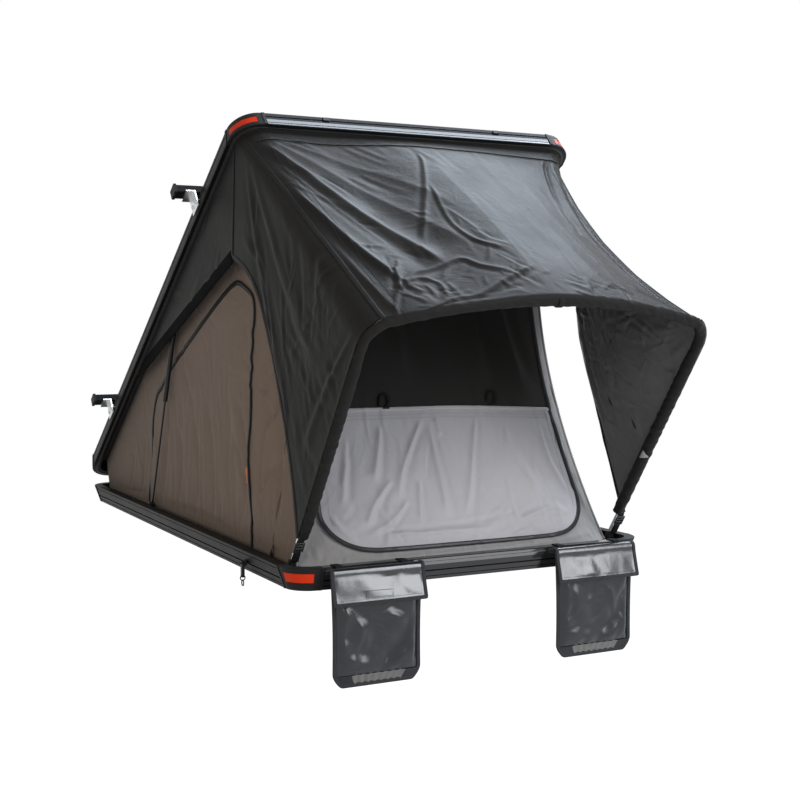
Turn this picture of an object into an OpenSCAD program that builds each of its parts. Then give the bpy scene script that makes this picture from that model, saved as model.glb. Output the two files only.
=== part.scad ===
// Hard shell roof top tent, open: two framed shells hinged at the rear, fabric walls between them,
// and an awning over the door on a hinged hoop. Millimetres, +Z up, door side towards -Y.

/* [Overall] */
// Width over the base rails
tent_w = 1300; // [1200:5:1450]
// Length over the base rails
tent_l = 2366; // [2200:2:2500]
// Outer corner radius of both shells
corner_r = 100; // [96:1:120]
// Angle that the lid is opened to
open_angle = 34.35; // [32:0.05:36]
// Opened hoop angle above the horizontal
hoop_angle = 55; // [50:1:60]

/* [Base shell] */
// Height of the base rail's outer face
base_h = 72; // [68:1:85]
// How far the base's outer face leans in
base_taper = 25; // [15:1:28]
// Width of the flat rim on both shells
rim_w = 35; // [33:1:38]
// Shelf width inside the base rim
shelf_w = 55; // [50:1:58]
// Depth of the shelf below the rim
shelf_drop = 18; // [16:1:22]
// Thickness of the rails' flanges
flange_t = 3; // [2:0.5:4]
// Floor panel thickness
floor_t = 12; // [8:1:14]
// Mattress thickness
mattress_t = 58; // [45:1:58]

/* [Lid shell] */
// Height of the lid rail's outer face
lid_h = 57; // [56:1:70]
// How far the lid's outer face leans in
lid_taper = 8; // [4:1:10]
// Gap between the rims when shut
seam_gap = 6; // [5:0.5:9]
// Roof panel thickness
roof_t = 10; // [6:1:11]
// Roof lining thickness
lining_t = 10; // [6:1:12]
// Seal height under the lid's rim
seal_h = 3.2; // [2:0.1:3.2]

/* [Hinges] */
// Hinge axis behind the rear rail
hinge_back = 42; // [40:1:50]
// Hinge axis below the rim
hinge_drop = 17; // [15:1:20]
// Distance of each hinge from the middle
hinge_x = 430; // [300:5:480]
// Hinge pin radius
pin_r = 6; // [4:0.5:7]
// Width of the lid's hinge tongue
tongue_w = 30; // [20:1:40]
// Thickness of each hinge ear
ear_t = 8; // [5:0.5:10]

/* [Gas struts] */
// Strut centre line in from the outer edge
strut_in = 50; // [48:1:52]
// Base pivot towards the rear
strut_base_y = 378; // [340:2:420]
// Lid pivot in the shut lid, towards the front
strut_lid_y = -259; // [-300:2:-220]
// Strut rod radius
rod_r = 4; // [3:0.5:5]
// Strut cylinder radius
cylinder_r = 9.5; // [8:0.5:9.5]
// Length of the strut's cylinder
cylinder_len = 430; // [400:5:440]

/* [Awning hoop] */
// Hoop pole centre line in from the outer edge
hoop_side = 70; // [68:1:72]
// Hoop pivots behind the front rail's outer edge
hoop_inset = 130; // [110:1:150]
// Straight leg length from the pivot
hoop_leg = 807; // [760:1:830]
// Radius of the hoop's bends
hoop_bend_r = 90; // [70:1:120]
// Radius of the bowed crossbar
hoop_bow_r = 1900; // [1500:10:2600]
// Pole radius
pole_r = 8; // [6:0.5:8]
// Sleeve radius
sleeve_r = 16; // [12:0.5:16]

/* [Crossbars] */
// Front crossbar on the shut lid
bar_front_y = -720; // [-800:5:-600]
// Rear crossbar on the shut lid
bar_rear_y = 660; // [500:5:800]
// Crossbar width along the lid
bar_w = 40; // [30:1:50]
// Crossbar height
bar_h = 28; // [20:1:35]
// Crossbar reach beyond the outer edge
bar_over = 62; // [50:2:110]
// Clear height between the lid's top and the bars
bar_clear = 22; // [15:1:40]

/* [Roof rack rails] */
// Rail height under the floor
rail_h = 28; // [25:1:40]
// Rail width
rail_w = 40; // [30:1:60]
// Distance between the two rails' middles
rail_spacing = 800; // [700:10:900]
// Distance between the bolts along a rail
bolt_spacing = 900; // [700:10:1200]
// Bolt hole radius
bolt_hole_r = 4.5; // [4:0.1:5.5]

/* [Shoe bags] */
// Bag width
bag_w = 310; // [250:5:320]
// Bag drop below the rim
bag_drop = 355; // [250:5:420]
// Bag depth, front to back
bag_d = 30; // [26:1:60]
// How far the flap comes down
flap_drop = 105; // [70:5:140]
// Left bag's middle in from the outer edge
bag_left_in = 265; // [255:5:350]
// Right bag's middle in from the outer edge
bag_right_in = 240; // [230:5:350]

/* [Fabric] */
// Thickness of the fabric panels
cloth_t = 3; // [2:0.5:4]
// How far the door wall sags inwards
wall_sag = 90; // [0:5:110]
// Height of the walls' folds
fold_h = 6; // [2:0.5:7]
// Height of the awning's folds
fly_fold_h = 14; // [4:1:20]

/* [Hidden] */
$fn = 48;
fit_gap = 0.3;
run_gap = 0.05;

// Levels
seam_z = rail_h + base_h - flange_t;
shelf_z = seam_z - shelf_drop;
floor_z = rail_h;
lid_z = seam_z + seam_gap;
lid_top = lid_z + lid_h;
roof_drop = 3;
roof_z = lid_top - roof_drop - roof_t;
hinge_y = tent_l / 2 + hinge_back;
hinge_z = seam_z - hinge_drop;
front_y = -tent_l / 2;
strut_x = tent_w / 2 - strut_in;
hoop_x = tent_w / 2 - hoop_side;
bar_reach = tent_w / 2 + bar_over;
bag_left_x = bag_left_in - tent_w / 2;
bag_right_x = tent_w / 2 - bag_right_in;

// Rails: collars of the corner covers end the straight stretches
collar_w = 10;
collar_proud = 2.5;
side_len = tent_l - 2 * (corner_r + collar_w);
end_len = tent_w - 2 * (corner_r + collar_w);
chamfer = 2;
groove_d = 3;
slot_d = 6;
chamber_wall = 3;
floor_lip = 20;
lid_ledge = 20;
ledge_t = 4;

// Grooves on the outer faces, as shares of the face's height from the rim
base_grooves = [[0.14, 0.18, groove_d], [0.55, 0.62, slot_d], [0.82, 0.86, groove_d]];
lid_grooves = [[0.17, 0.22, groove_d], [0.63, 0.72, slot_d]];

// A share t of the way from a to b
function mix(a, b, t) = a + (b - a) * t;
// A point of the shut lid at its opened place
function lid_pt(p) = [
  p.x,
  hinge_y + (p.y - hinge_y) * cos(open_angle) + (p.z - hinge_z) * sin(open_angle),
  hinge_z - (p.y - hinge_y) * sin(open_angle) + (p.z - hinge_z) * cos(open_angle)
];
// Outer face points of a rail from rim to edge, with its grooves cut in
function grooved(h, taper, grooves, up) = [
  for (g = grooves) each [
    [taper * g[0], up * h * g[0]],
    [taper * g[0] + g[2], up * h * g[0]],
    [taper * g[1] + g[2], up * h * g[1]],
    [taper * g[1], up * h * g[1]]
  ]
];
function base_face(cut) = concat(
  [[chamfer, 0], [0, -chamfer]],
  cut ? grooved(base_h, base_taper, base_grooves, -1) : [],
  [[base_taper, -base_h]]
);
function lid_face(cut) = concat(
  [[chamfer, 0], [0, chamfer]],
  cut ? grooved(lid_h, lid_taper, lid_grooves, 1) : [],
  [[lid_taper, lid_h - chamfer], [lid_taper + chamfer, lid_h]]
);
function base_profile(cut) = concat(base_face(cut), [
  [rim_w + floor_lip, -base_h],
  [rim_w + floor_lip, -base_h + flange_t],
  [rim_w, -base_h + flange_t],
  [rim_w, -shelf_drop - flange_t],
  [rim_w + shelf_w, -shelf_drop - flange_t],
  [rim_w + shelf_w, -shelf_drop],
  [rim_w, -shelf_drop],
  [rim_w, 0]
]);
ledge_h = lid_h - roof_drop - roof_t;
roof_edge = 20;
function lid_profile(cut) = concat(lid_face(cut), [
  [roof_edge, lid_h],
  [roof_edge, ledge_h],
  [rim_w + lid_ledge, ledge_h],
  [rim_w + lid_ledge, ledge_h - ledge_t],
  [rim_w, ledge_h - ledge_t],
  [rim_w, 0]
]);
chamber_h = base_h * 0.7;
base_chamber = [
  [slot_d + chamber_wall + chamfer, -chamber_wall],
  [rim_w - chamber_wall, -chamber_wall],
  [rim_w - chamber_wall, -chamber_h],
  [base_taper * chamber_h / base_h + slot_d + chamber_wall, -chamber_h]
];
lid_chamber_h = ledge_h - ledge_t;
lid_chamber = [
  [slot_d + chamber_wall + chamfer, chamber_wall],
  [rim_w - chamber_wall, chamber_wall],
  [rim_w - chamber_wall, lid_chamber_h],
  [lid_taper + slot_d + chamber_wall, lid_chamber_h]
];

// Puts a rail's profile along +Y on the -X side, with its outer edge at x = -w / 2
module side_rail(profile, chamber, z) {
  translate([-tent_w / 2, side_len / 2, z])
    rotate([90, 0, 0])
      linear_extrude(side_len)
        difference() {
          polygon(profile);
          polygon(chamber);
        }
}
module end_rail(profile, chamber, z) {
  translate([-end_len / 2, -tent_l / 2, z])
    rotate([90, 0, 90])
      linear_extrude(end_len)
        difference() {
          polygon(profile);
          polygon(chamber);
        }
}
// A profile's points turned to stand at a radius, for sweeping round a corner
function at_radius(profile) = [for (p = profile) [corner_r - p.x, p.y]];
function proud(profile, d) = [for (i = [0 : len(profile) - 1])
  i < 2 || profile[i].x < rim_w - 9 ? profile[i] - [d, 0] : profile[i]];
// One corner cover round the front left corner, with its two collars
module corner_cover(profile, z) {
  translate([-tent_w / 2 + corner_r, -tent_l / 2 + corner_r, z]) {
    rotate([0, 0, 180])
      rotate_extrude(angle = 90, $fn = 96)
        polygon(at_radius(profile));
    collar(profile);
    mirror([1, -1, 0])
      collar(profile);
  }
}
module collar(profile) {
  translate([-corner_r, collar_w, 0])
    rotate([90, 0, 0])
      linear_extrude(collar_w)
        polygon(proud(profile, collar_proud));
}
module four_corners() {
  for (sx = [0, 1], sy = [0, 1])
    mirror([sx, 0, 0])
      mirror([0, sy, 0])
        children();
}
// The reflector's seat: a band round the corner's face between two shares of its height
strip_in = 2;
strip_t = 1.5;
strip_low = 0.24;
strip_high = 0.66;
function band(h, taper, up, low, high, near, far) = [
  [taper * low + near, up * h * low],
  [taper * low + far, up * h * low],
  [taper * high + far, up * h * high],
  [taper * high + near, up * h * high]
];
strip_from = 12;
strip_sweep = 66;
module strip(h, taper, up, low, high, near, far, start, sweep) {
  rotate([0, 0, 180 + start])
    rotate_extrude(angle = sweep, $fn = 96)
      polygon(at_radius(band(h, taper, up, low, high, near, far)));
}
module corner_strip(h, taper, up, z) {
  translate([-tent_w / 2 + corner_r, -tent_l / 2 + corner_r, z])
    strip(h, taper, up, strip_low + 0.01, strip_high - 0.01, strip_in - strip_t, strip_in - 0.2,
      strip_from + 0.3, strip_sweep - 0.6);
}
module corner_seat(h, taper, up, z) {
  translate([-tent_w / 2 + corner_r, -tent_l / 2 + corner_r, z])
    strip(h, taper, up, strip_low, strip_high, -collar_proud, strip_in, strip_from, strip_sweep);
}
module lid_pose() {
  translate([0, hinge_y, hinge_z])
    rotate([-open_angle, 0, 0])
      translate([0, -hinge_y, -hinge_z])
        children();
}
module pair() {
  children();
  mirror([1, 0, 0])
    children();
}
module rounded_slab(w, l, r, t) {
  linear_extrude(t)
    rounded_outline(w, l, r);
}
module rounded_outline(w, l, r) {
  square([w, l - 2 * r], center = true);
  square([w - 2 * r, l], center = true);
  for (sx = [-1, 1], sy = [-1, 1])
    translate([sx * (w / 2 - r), sy * (l / 2 - r)])
      circle(r);
}

// Base shell
shell_black = [0.07, 0.07, 0.075];
module base_rail_left() color(shell_black) side_rail(base_profile(true), base_chamber, seam_z);
module base_rail_right() color(shell_black) mirror([1, 0, 0]) base_rail_left();
module base_rail_front() color(shell_black) end_rail(base_profile(true), base_chamber, seam_z);
module base_rail_rear() color(shell_black) mirror([0, 1, 0]) base_rail_front();
module base_corner_covers() {
  color([0.05, 0.05, 0.05])
    four_corners()
      difference() {
        corner_cover(base_profile(false), seam_z);
        corner_seat(base_h, base_taper, -1, seam_z);
      }
}
module base_reflectors() {
  color([0.8, 0.12, 0.04])
    four_corners()
      corner_strip(base_h, base_taper, -1, seam_z);
}
floor_edge = rim_w + fit_gap;
module floor_panel() {
  color([0.55, 0.56, 0.57])
    translate([0, 0, floor_z])
      rounded_slab(tent_w - 2 * floor_edge, tent_l - 2 * floor_edge, corner_r - floor_edge, floor_t);
}
rail_end = 150;
rail_wall = 4;
rail_len = tent_l - 2 * rail_end;
module mounting_rails() {
  color([0.12, 0.12, 0.13])
    pair()
      translate([rail_spacing / 2, 0, 0])
        difference() {
          translate([-rail_w / 2, -rail_len / 2, 0])
            cube([rail_w, rail_len, rail_h]);
          translate([-rail_w / 2 + rail_wall, -rail_len / 2 - 1, rail_wall])
            cube([rail_w - 2 * rail_wall, rail_len + 2, rail_h]);
          for (s = [-1, 1])
            translate([0, s * bolt_spacing / 2, -1])
              cylinder(r = bolt_hole_r, h = rail_wall + 2);
        }
}
mattress_gap = 10;
mattress_end = 45;
mattress_r = 40;
mattress_w = tent_w - 2 * (rim_w + shelf_w + mattress_gap);
mattress_l = tent_l - 2 * (rim_w + shelf_w + mattress_end);
module mattress() {
  color([0.42, 0.43, 0.45])
    translate([0, 0, floor_z + floor_t])
      rounded_slab(mattress_w, mattress_l, mattress_r, mattress_t);
}

// Hinges: each has two ears on the base, one tongue on the lid and a headed pin
knuckle_r = 14;
leaf_t = 8;
leaf_top = 8;
leaf_low = 62;
arm_t = 16;
function rear_face(z_down) = tent_l / 2 - base_taper * z_down / base_h;
module hinge_at(w) {
  for (s = [-1, 1])
    translate([s * hinge_x - w / 2, 0, 0])
      rotate([90, 0, 90])
        linear_extrude(w)
          children();
}
module base_ear() {
  difference() {
    union() {
      polygon([
        [rear_face(leaf_top) + fit_gap, seam_z - leaf_top],
        [rear_face(leaf_low) + fit_gap, seam_z - leaf_low],
        [rear_face(leaf_low) + leaf_t, seam_z - leaf_low],
        [hinge_y, hinge_z - knuckle_r],
        [hinge_y, hinge_z + knuckle_r - chamfer]
      ]);
      translate([hinge_y, hinge_z])
        circle(knuckle_r);
    }
    translate([hinge_y, hinge_z])
      circle(pin_r + run_gap);
  }
}
module base_plate() {
  polygon([
    [rear_face(leaf_top) + fit_gap, seam_z - leaf_top],
    [rear_face(leaf_low) + fit_gap, seam_z - leaf_low],
    [rear_face(leaf_low) + leaf_t, seam_z - leaf_low],
    [rear_face(leaf_top) + leaf_t, seam_z - leaf_top - leaf_t]
  ]);
}
ear_gap = tongue_w + 2 * fit_gap;
hinge_w = ear_gap + 2 * ear_t;
module hinge_base_leaves() {
  color([0.1, 0.1, 0.11]) {
    hinge_at(hinge_w)
      base_plate();
    for (s = [-1, 1])
      translate([s * (ear_gap + ear_t) / 2, 0, 0])
        hinge_at(ear_t)
          base_ear();
  }
}
pin_head_t = 3;
pin_head_r = 10;
module hinge_pins() {
  color([0.75, 0.76, 0.78])
    for (s = [-1, 1])
      translate([s * hinge_x - hinge_w / 2 - pin_head_t, hinge_y, hinge_z])
        rotate([0, 90, 0]) {
          cylinder(r = pin_head_r, h = pin_head_t);
          cylinder(r = pin_r, h = hinge_w + 2 * pin_head_t);
          translate([0, 0, hinge_w + pin_head_t])
            cylinder(r = pin_head_r, h = pin_head_t);
        }
}
tongue_low = 10;
tongue_high = lid_h - 5;
lid_rear = tent_l / 2;
module tongue() {
  difference() {
    union() {
      polygon([
        [lid_rear + fit_gap, lid_z + tongue_low],
        [hinge_y - knuckle_r / 2, hinge_z - arm_t / 3],
        [hinge_y + knuckle_r - chamfer, hinge_z],
        [lid_rear + arm_t, lid_z + tongue_low + arm_t],
        [lid_rear + leaf_t, lid_z + tongue_high],
        [lid_rear + fit_gap, lid_z + tongue_high]
      ]);
      translate([hinge_y, hinge_z])
        circle(knuckle_r);
    }
    translate([hinge_y, hinge_z])
      circle(pin_r + run_gap);
  }
}
module hinge_lid_leaves() {
  color([0.1, 0.1, 0.11])
    lid_pose()
      hinge_at(tongue_w)
        tongue();
}

// Lid shell
module lid_rail_left() {
  color(shell_black)
    lid_pose()
      side_rail(lid_profile(true), lid_chamber, lid_z);
}
module lid_rail_right() color(shell_black) mirror([1, 0, 0]) lid_rail_left();
module lid_rail_front() {
  color(shell_black)
    lid_pose()
      end_rail(lid_profile(true), lid_chamber, lid_z);
}
module lid_rail_rear() {
  color(shell_black)
    lid_pose()
      mirror([0, 1, 0])
        end_rail(lid_profile(true), lid_chamber, lid_z);
}
module lid_corner_covers() {
  color([0.05, 0.05, 0.05])
    lid_pose()
      four_corners()
        difference() {
          corner_cover(lid_profile(false), lid_z);
          corner_seat(lid_h, lid_taper, 1, lid_z);
        }
}
module lid_reflectors() {
  color([0.8, 0.12, 0.04])
    lid_pose()
      four_corners()
        corner_strip(lid_h, lid_taper, 1, lid_z);
}
roof_in = roof_edge + fit_gap;
module roof_panel() {
  color([0.1, 0.1, 0.11])
    lid_pose()
      translate([0, 0, roof_z])
        rounded_slab(tent_w - 2 * roof_in, tent_l - 2 * roof_in, corner_r - roof_in, roof_t);
}
lining_in = 95;
module roof_lining() {
  color([0.5, 0.5, 0.5])
    lid_pose()
      translate([0, 0, roof_z - lining_t - fit_gap])
        rounded_slab(tent_w - 2 * lining_in, tent_l - 2 * lining_in, mattress_r, lining_t);
}
seal_in = 14;
seal_w = 8;
module lid_seal() {
  color([0.03, 0.03, 0.03])
    lid_pose()
      translate([0, 0, lid_z - seal_h])
        linear_extrude(seal_h)
          difference() {
            rounded_outline(tent_w - 2 * seal_in, tent_l - 2 * seal_in, corner_r - seal_in);
            rounded_outline(tent_w - 2 * (seal_in + seal_w), tent_l - 2 * (seal_in + seal_w),
              corner_r - seal_in - seal_w);
          }
}

// Gas struts: a rod hung on the base's stud slides in a cylinder that reaches the lid's stud
stud_r = 4;
eye_r = 9;
eye_w = 12;
stud_plate_t = 3.7;
stud_plate = 26;
rim_x = tent_w / 2 - rim_w;
strut_base_z = seam_z;
strut_lid_z = lid_z - 3;
strut_a = [strut_x, strut_base_y, strut_base_z];
strut_b = lid_pt([strut_x, strut_lid_y, strut_lid_z]);
strut_v = strut_b - strut_a;
strut_len = norm(strut_v);
strut_shut = norm([strut_lid_y - strut_base_y, strut_lid_z - strut_base_z]);
strut_turn = atan2(-strut_v.y, strut_v.z);
guide_len = 15;
bore_r = cylinder_r - 3;
rod_len = strut_shut - 38;
cap_len = 20;
module strut_pose() {
  translate(strut_a)
    rotate([strut_turn, 0, 0])
      children();
}
module eye(z) {
  translate([-eye_w / 2, 0, z])
    rotate([0, 90, 0])
      difference() {
        cylinder(r = eye_r, h = eye_w);
        translate([0, 0, -1])
          cylinder(r = stud_r + run_gap, h = eye_w + 2);
      }
}
module strut_rod() {
  color([0.7, 0.71, 0.73])
    strut_pose() {
      eye(0);
      translate([0, 0, eye_r - 1])
        cylinder(r = rod_r, h = rod_len - eye_r);
    }
}
module strut_cylinder() {
  color([0.04, 0.04, 0.045])
    strut_pose() {
      eye(strut_len);
      translate([0, 0, strut_len - cap_len])
        cylinder(r = rod_r + 1, h = cap_len - eye_r + 1);
      difference() {
        translate([0, 0, strut_len - cap_len - cylinder_len])
          cylinder(r = cylinder_r, h = cylinder_len);
        translate([0, 0, strut_len - cap_len - cylinder_len + guide_len])
          cylinder(r = bore_r, h = cylinder_len - 2 * guide_len);
        translate([0, 0, strut_len - cap_len - cylinder_len - 1])
          cylinder(r = rod_r + run_gap, h = guide_len + 2);
      }
    }
}
module strut_rod_right() strut_rod();
module strut_rod_left() mirror([1, 0, 0]) strut_rod();
module strut_cylinder_right() strut_cylinder();
module strut_cylinder_left() mirror([1, 0, 0]) strut_cylinder();
module stud(reach, capped) {
  translate([rim_x - fit_gap - stud_plate_t, -stud_plate / 2, -stud_plate / 2])
    cube([stud_plate_t, stud_plate, stud_plate]);
  translate([reach, 0, 0])
    rotate([0, 90, 0])
      cylinder(r = stud_r, h = rim_x - fit_gap - reach);
  if (capped)
    translate([reach, 0, 0])
      rotate([0, 90, 0])
        cylinder(r = stud_r + 2, h = 3);
}
module strut_base_studs() {
  color([0.7, 0.71, 0.73])
    pair()
      translate([0, strut_base_y, strut_base_z])
        stud(strut_x - eye_w / 2 - fit_gap - 3, true);
}
module strut_lid_studs() {
  color([0.7, 0.71, 0.73])
    lid_pose()
      pair()
        translate([0, strut_lid_y, strut_lid_z])
          stud(strut_x + eye_w / 2 + fit_gap, false);
}

// Crossbars on the lid
bar_z = lid_top + bar_clear;
cap_t = 10;
cap_over = 3;
bar_wall = 2.5;
module crossbar(y) {
  color([0.06, 0.06, 0.065])
    lid_pose()
      translate([-bar_reach, y - bar_w / 2, bar_z])
        difference() {
          cube([2 * bar_reach, bar_w, bar_h]);
          translate([-1, bar_wall, bar_wall])
            cube([2 * bar_reach + 2, bar_w - 2 * bar_wall, bar_h - 2 * bar_wall]);
        }
}
module crossbar_front() crossbar(bar_front_y);
module crossbar_rear() crossbar(bar_rear_y);
module bar_ends() {
  for (y = [bar_front_y, bar_rear_y])
    pair()
      translate([0, y, bar_z])
        children();
}
module crossbar_end_caps() {
  color([0.03, 0.03, 0.03])
    lid_pose()
      bar_ends()
        translate([bar_reach, -bar_w / 2 - cap_over, -cap_over])
          cube([cap_t, bar_w + 2 * cap_over, bar_h + 2 * cap_over]);
}
bracket_t = 5;
bracket_out = 34;
bracket_w = 60;
bracket_low = 12;
bracket_hole_r = 4;
bracket_hole_gap = 30;
slot_play = 0.4;
lid_slot = lid_grooves[1];
lid_slot_h = lid_h * (lid_slot[1] - lid_slot[0]);
bracket_bolt_z = lid_z + lid_h * (lid_slot[0] + lid_slot[1]) / 2;
tongue_in = tent_w / 2 - lid_taper * lid_slot[0] - slot_d + 1.5;
module crossbar_brackets() {
  color([0.75, 0.76, 0.77])
    lid_pose()
      bar_ends() {
        translate([tent_w / 2 + fit_gap, -bracket_w / 2, -bracket_t])
          cube([bracket_out, bracket_w, bracket_t]);
        difference() {
          union() {
            translate([tent_w / 2 + fit_gap, -bracket_w / 2, lid_z + bracket_low - bar_z])
              cube([bracket_t, bracket_w, bar_z - lid_z - bracket_low]);
            translate([tongue_in, -bracket_w / 2, lid_z + lid_h * lid_slot[0] + slot_play - bar_z])
              cube([tent_w / 2 + 1 - tongue_in, bracket_w, lid_slot_h - 2 * slot_play]);
          }
          for (s = [-1, 1])
            translate([tent_w / 2 + 1, s * bracket_hole_gap / 2, bracket_bolt_z - bar_z])
              rotate([0, 90, 0])
                cylinder(r = bracket_hole_r, h = bracket_t + 4);
        }
      }
}
bolt_head_r = 7;
bolt_head_t = 4;
module bracket_bolts() {
  color([0.7, 0.71, 0.73])
    lid_pose()
      bar_ends()
        for (s = [-1, 1])
          translate([tent_w / 2 + fit_gap + bracket_t, s * bracket_hole_gap / 2, bracket_bolt_z - bar_z])
            rotate([0, 90, 0])
              difference() {
                cylinder(r = bolt_head_r, h = bolt_head_t);
                translate([0, 0, bolt_head_t - 2])
                  cylinder(r = 3, h = 3, $fn = 6);
              }
}
anchor_in = 324;
anchor_x = tent_w / 2 - anchor_in;
anchor_w = 22;
anchor_t = 5;
anchor_h = 12;
module lid_slot_anchors() {
  color([0.75, 0.76, 0.77])
    lid_pose()
      pair()
        translate([anchor_x - anchor_w / 2, front_y + lid_taper * lid_slot[0], lid_z + lid_h * lid_slot[0]]) {
          translate([0, -anchor_t, slot_play])
            cube([anchor_w, anchor_t, anchor_h]);
          translate([4, -1, slot_play])
            cube([anchor_w - 8, slot_d, lid_slot_h - 2 * slot_play]);
        }
}
clip_y = 310;
clip_len = 34;
clip_h = 20;
clip_t = 4.2;
module fly_clips() {
  color([0.03, 0.03, 0.03])
    lid_pose()
      pair()
        translate([rim_x - fit_gap - clip_t, clip_y - clip_len / 2, lid_z - 6])
          cube([clip_t, clip_len, clip_h]);
}

// Awning hoop: straight legs, two bends and a bowed crossbar in one plane
hoop_y = front_y + hoop_inset;
hoop_z = seam_z;
bow_half = asin((hoop_x - hoop_bend_r) / (hoop_bow_r - hoop_bend_r));
bow_s = hoop_leg + hoop_bend_r * sin(90 - bow_half) - hoop_bow_r * cos(bow_half);
crown_s = bow_s + hoop_bow_r;
leg_from = 110;
bow_lap = -0.02;
ferrule_len = 16;
ferrule_over = 1.5;
sleeve_from = 190;
// A point of the hoop's plane: across, along the leg, and off the plane towards the lid
function hoop_pt(x, s, n) = [
  x,
  hoop_y - s * cos(hoop_angle) + n * sin(hoop_angle),
  hoop_z + s * sin(hoop_angle) + n * cos(hoop_angle)
];
// How far up the hoop its centre line lies at a distance from the middle
function hoop_s(x) = abs(x) < hoop_bow_r * sin(bow_half)
  ? bow_s + sqrt(hoop_bow_r * hoop_bow_r - x * x)
  : hoop_leg + sqrt(max(0, pow(hoop_bend_r, 2) - pow(abs(x) - hoop_x + hoop_bend_r, 2)));
// Local X across, local Y up the leg, local Z towards the lid
module hoop_pose() {
  translate([0, hoop_y, hoop_z])
    rotate([180 - hoop_angle, 0, 0])
      mirror([0, 0, 1])
        children();
}
module ring(r, inner) {
  difference() {
    circle(r);
    if (inner > 0)
      circle(inner);
  }
}
module hoop_tube(r, inner, from) {
  pair() {
    translate([hoop_x, from, 0])
      rotate([-90, 0, 0])
        linear_extrude(hoop_leg - from)
          ring(r, inner);
    translate([hoop_x - hoop_bend_r, hoop_leg, 0])
      rotate_extrude(angle = 90 - bow_half, $fn = 96)
        translate([hoop_bend_r, 0])
          ring(r, inner);
  }
  translate([0, bow_s, 0])
    rotate([0, 0, 90 - bow_half - bow_lap])
      rotate_extrude(angle = 2 * (bow_half + bow_lap), $fn = 192)
        translate([hoop_bow_r, 0])
          ring(r, inner);
  for (s = [-1, 1])
    translate([0, bow_s, 0])
      rotate([0, 0, s * bow_half])
        translate([-ferrule_len / 2, hoop_bow_r, 0])
          rotate([0, 90, 0])
            linear_extrude(ferrule_len)
              ring(r + ferrule_over, inner > 0 ? r - 3 : 0);
}
module hoop_pole() {
  color([0.3, 0.3, 0.32])
    hoop_pose()
      hoop_tube(pole_r, 0, leg_from);
}
module hoop_sleeve() {
  color([0.06, 0.06, 0.065])
    hoop_pose()
      hoop_tube(sleeve_r, pole_r + ferrule_over + 1, sleeve_from);
}
foot_t = 4;
foot_w = 22;
foot_len = 160;
foot_hole_r = 3.5;
foot_x = hoop_x + pole_r + fit_gap;
hoop_pin_r = 4;
module hoop_foot_bars() {
  color([0.72, 0.73, 0.74])
    hoop_pose()
      pair()
        difference() {
          union() {
            translate([foot_x, 0, -foot_w / 2])
              cube([foot_t, foot_len, foot_w]);
            translate([foot_x, 0, 0])
              rotate([0, 90, 0])
                cylinder(r = foot_w / 2, h = foot_t);
          }
          translate([foot_x - 1, 0, 0])
            rotate([0, 90, 0])
              cylinder(r = hoop_pin_r + run_gap, h = foot_t + 2);
          for (s = [45, 80])
            translate([foot_x - 1, s, 0])
              rotate([0, 90, 0])
                cylinder(r = foot_hole_r, h = foot_t + 2);
        }
}
ear_plate = 4;
ear_len = 30;
ear_top = 9;
module hoop_brackets() {
  color([0.1, 0.1, 0.11])
    pair()
      translate([0, hoop_y, 0]) {
        for (x = [foot_x - fit_gap - ear_plate, foot_x + foot_t + fit_gap])
          translate([x, -ear_len / 2, shelf_z])
            cube([ear_plate, ear_len, shelf_drop + ear_top]);
        translate([foot_x - fit_gap - ear_plate, -ear_len / 2, shelf_z])
          cube([foot_t + 2 * (fit_gap + ear_plate), ear_len, 3]);
        translate([foot_x - fit_gap - ear_plate, 0, hoop_z])
          rotate([0, 90, 0])
            cylinder(r = hoop_pin_r, h = foot_t + 2 * (fit_gap + ear_plate));
      }
}
strap_w = 20;
strap_t = 2;
strap_x = foot_x + foot_t + fit_gap + ear_plate + fit_gap;
buckle_l = 24;
buckle_w = 28;
buckle_t = 4;
module hoop_straps() {
  color([0.05, 0.05, 0.05])
    hoop_pose()
      pair() {
        translate([strap_x, 15, -strap_w / 2])
          cube([strap_t, sleeve_from - 15 - fit_gap, strap_w]);
        translate([strap_x, 95, -buckle_w / 2])
          cube([buckle_t, buckle_l, buckle_w]);
        translate([hoop_x + pole_r + fit_gap, sleeve_from - fit_gap - 14, -strap_w / 2])
          cube([strap_x - hoop_x - pole_r - fit_gap + strap_t, 14, strap_w]);
      }
}

// Fabric panels: a grid of points given a thickness along one direction
function sheet_points(grid, o, near, far) = concat(
  [for (row = grid) for (p = row) p + o * far],
  [for (row = grid) for (p = row) p + o * near]
);
function at(i, j, m) = i * (m + 1) + j;
function sheet_faces(n, m) = let (back = (n + 1) * (m + 1)) concat(
  [for (i = [0 : n - 1]) for (j = [0 : m - 1]) each [
    [at(i, j, m), at(i + 1, j, m), at(i + 1, j + 1, m)],
    [at(i, j, m), at(i + 1, j + 1, m), at(i, j + 1, m)],
    [back + at(i + 1, j + 1, m), back + at(i + 1, j, m), back + at(i, j, m)],
    [back + at(i, j + 1, m), back + at(i + 1, j + 1, m), back + at(i, j, m)]
  ]],
  [for (i = [0 : n - 1]) each [
    [at(i, 0, m), back + at(i, 0, m), back + at(i + 1, 0, m)],
    [at(i, 0, m), back + at(i + 1, 0, m), at(i + 1, 0, m)],
    [at(i + 1, m, m), back + at(i + 1, m, m), back + at(i, m, m)],
    [at(i + 1, m, m), back + at(i, m, m), at(i, m, m)]
  ]],
  [for (j = [0 : m - 1]) each [
    [at(0, j + 1, m), back + at(0, j + 1, m), back + at(0, j, m)],
    [at(0, j + 1, m), back + at(0, j, m), at(0, j, m)],
    [at(n, j, m), back + at(n, j, m), back + at(n, j + 1, m)],
    [at(n, j, m), back + at(n, j + 1, m), at(n, j + 1, m)]
  ]]
);
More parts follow.
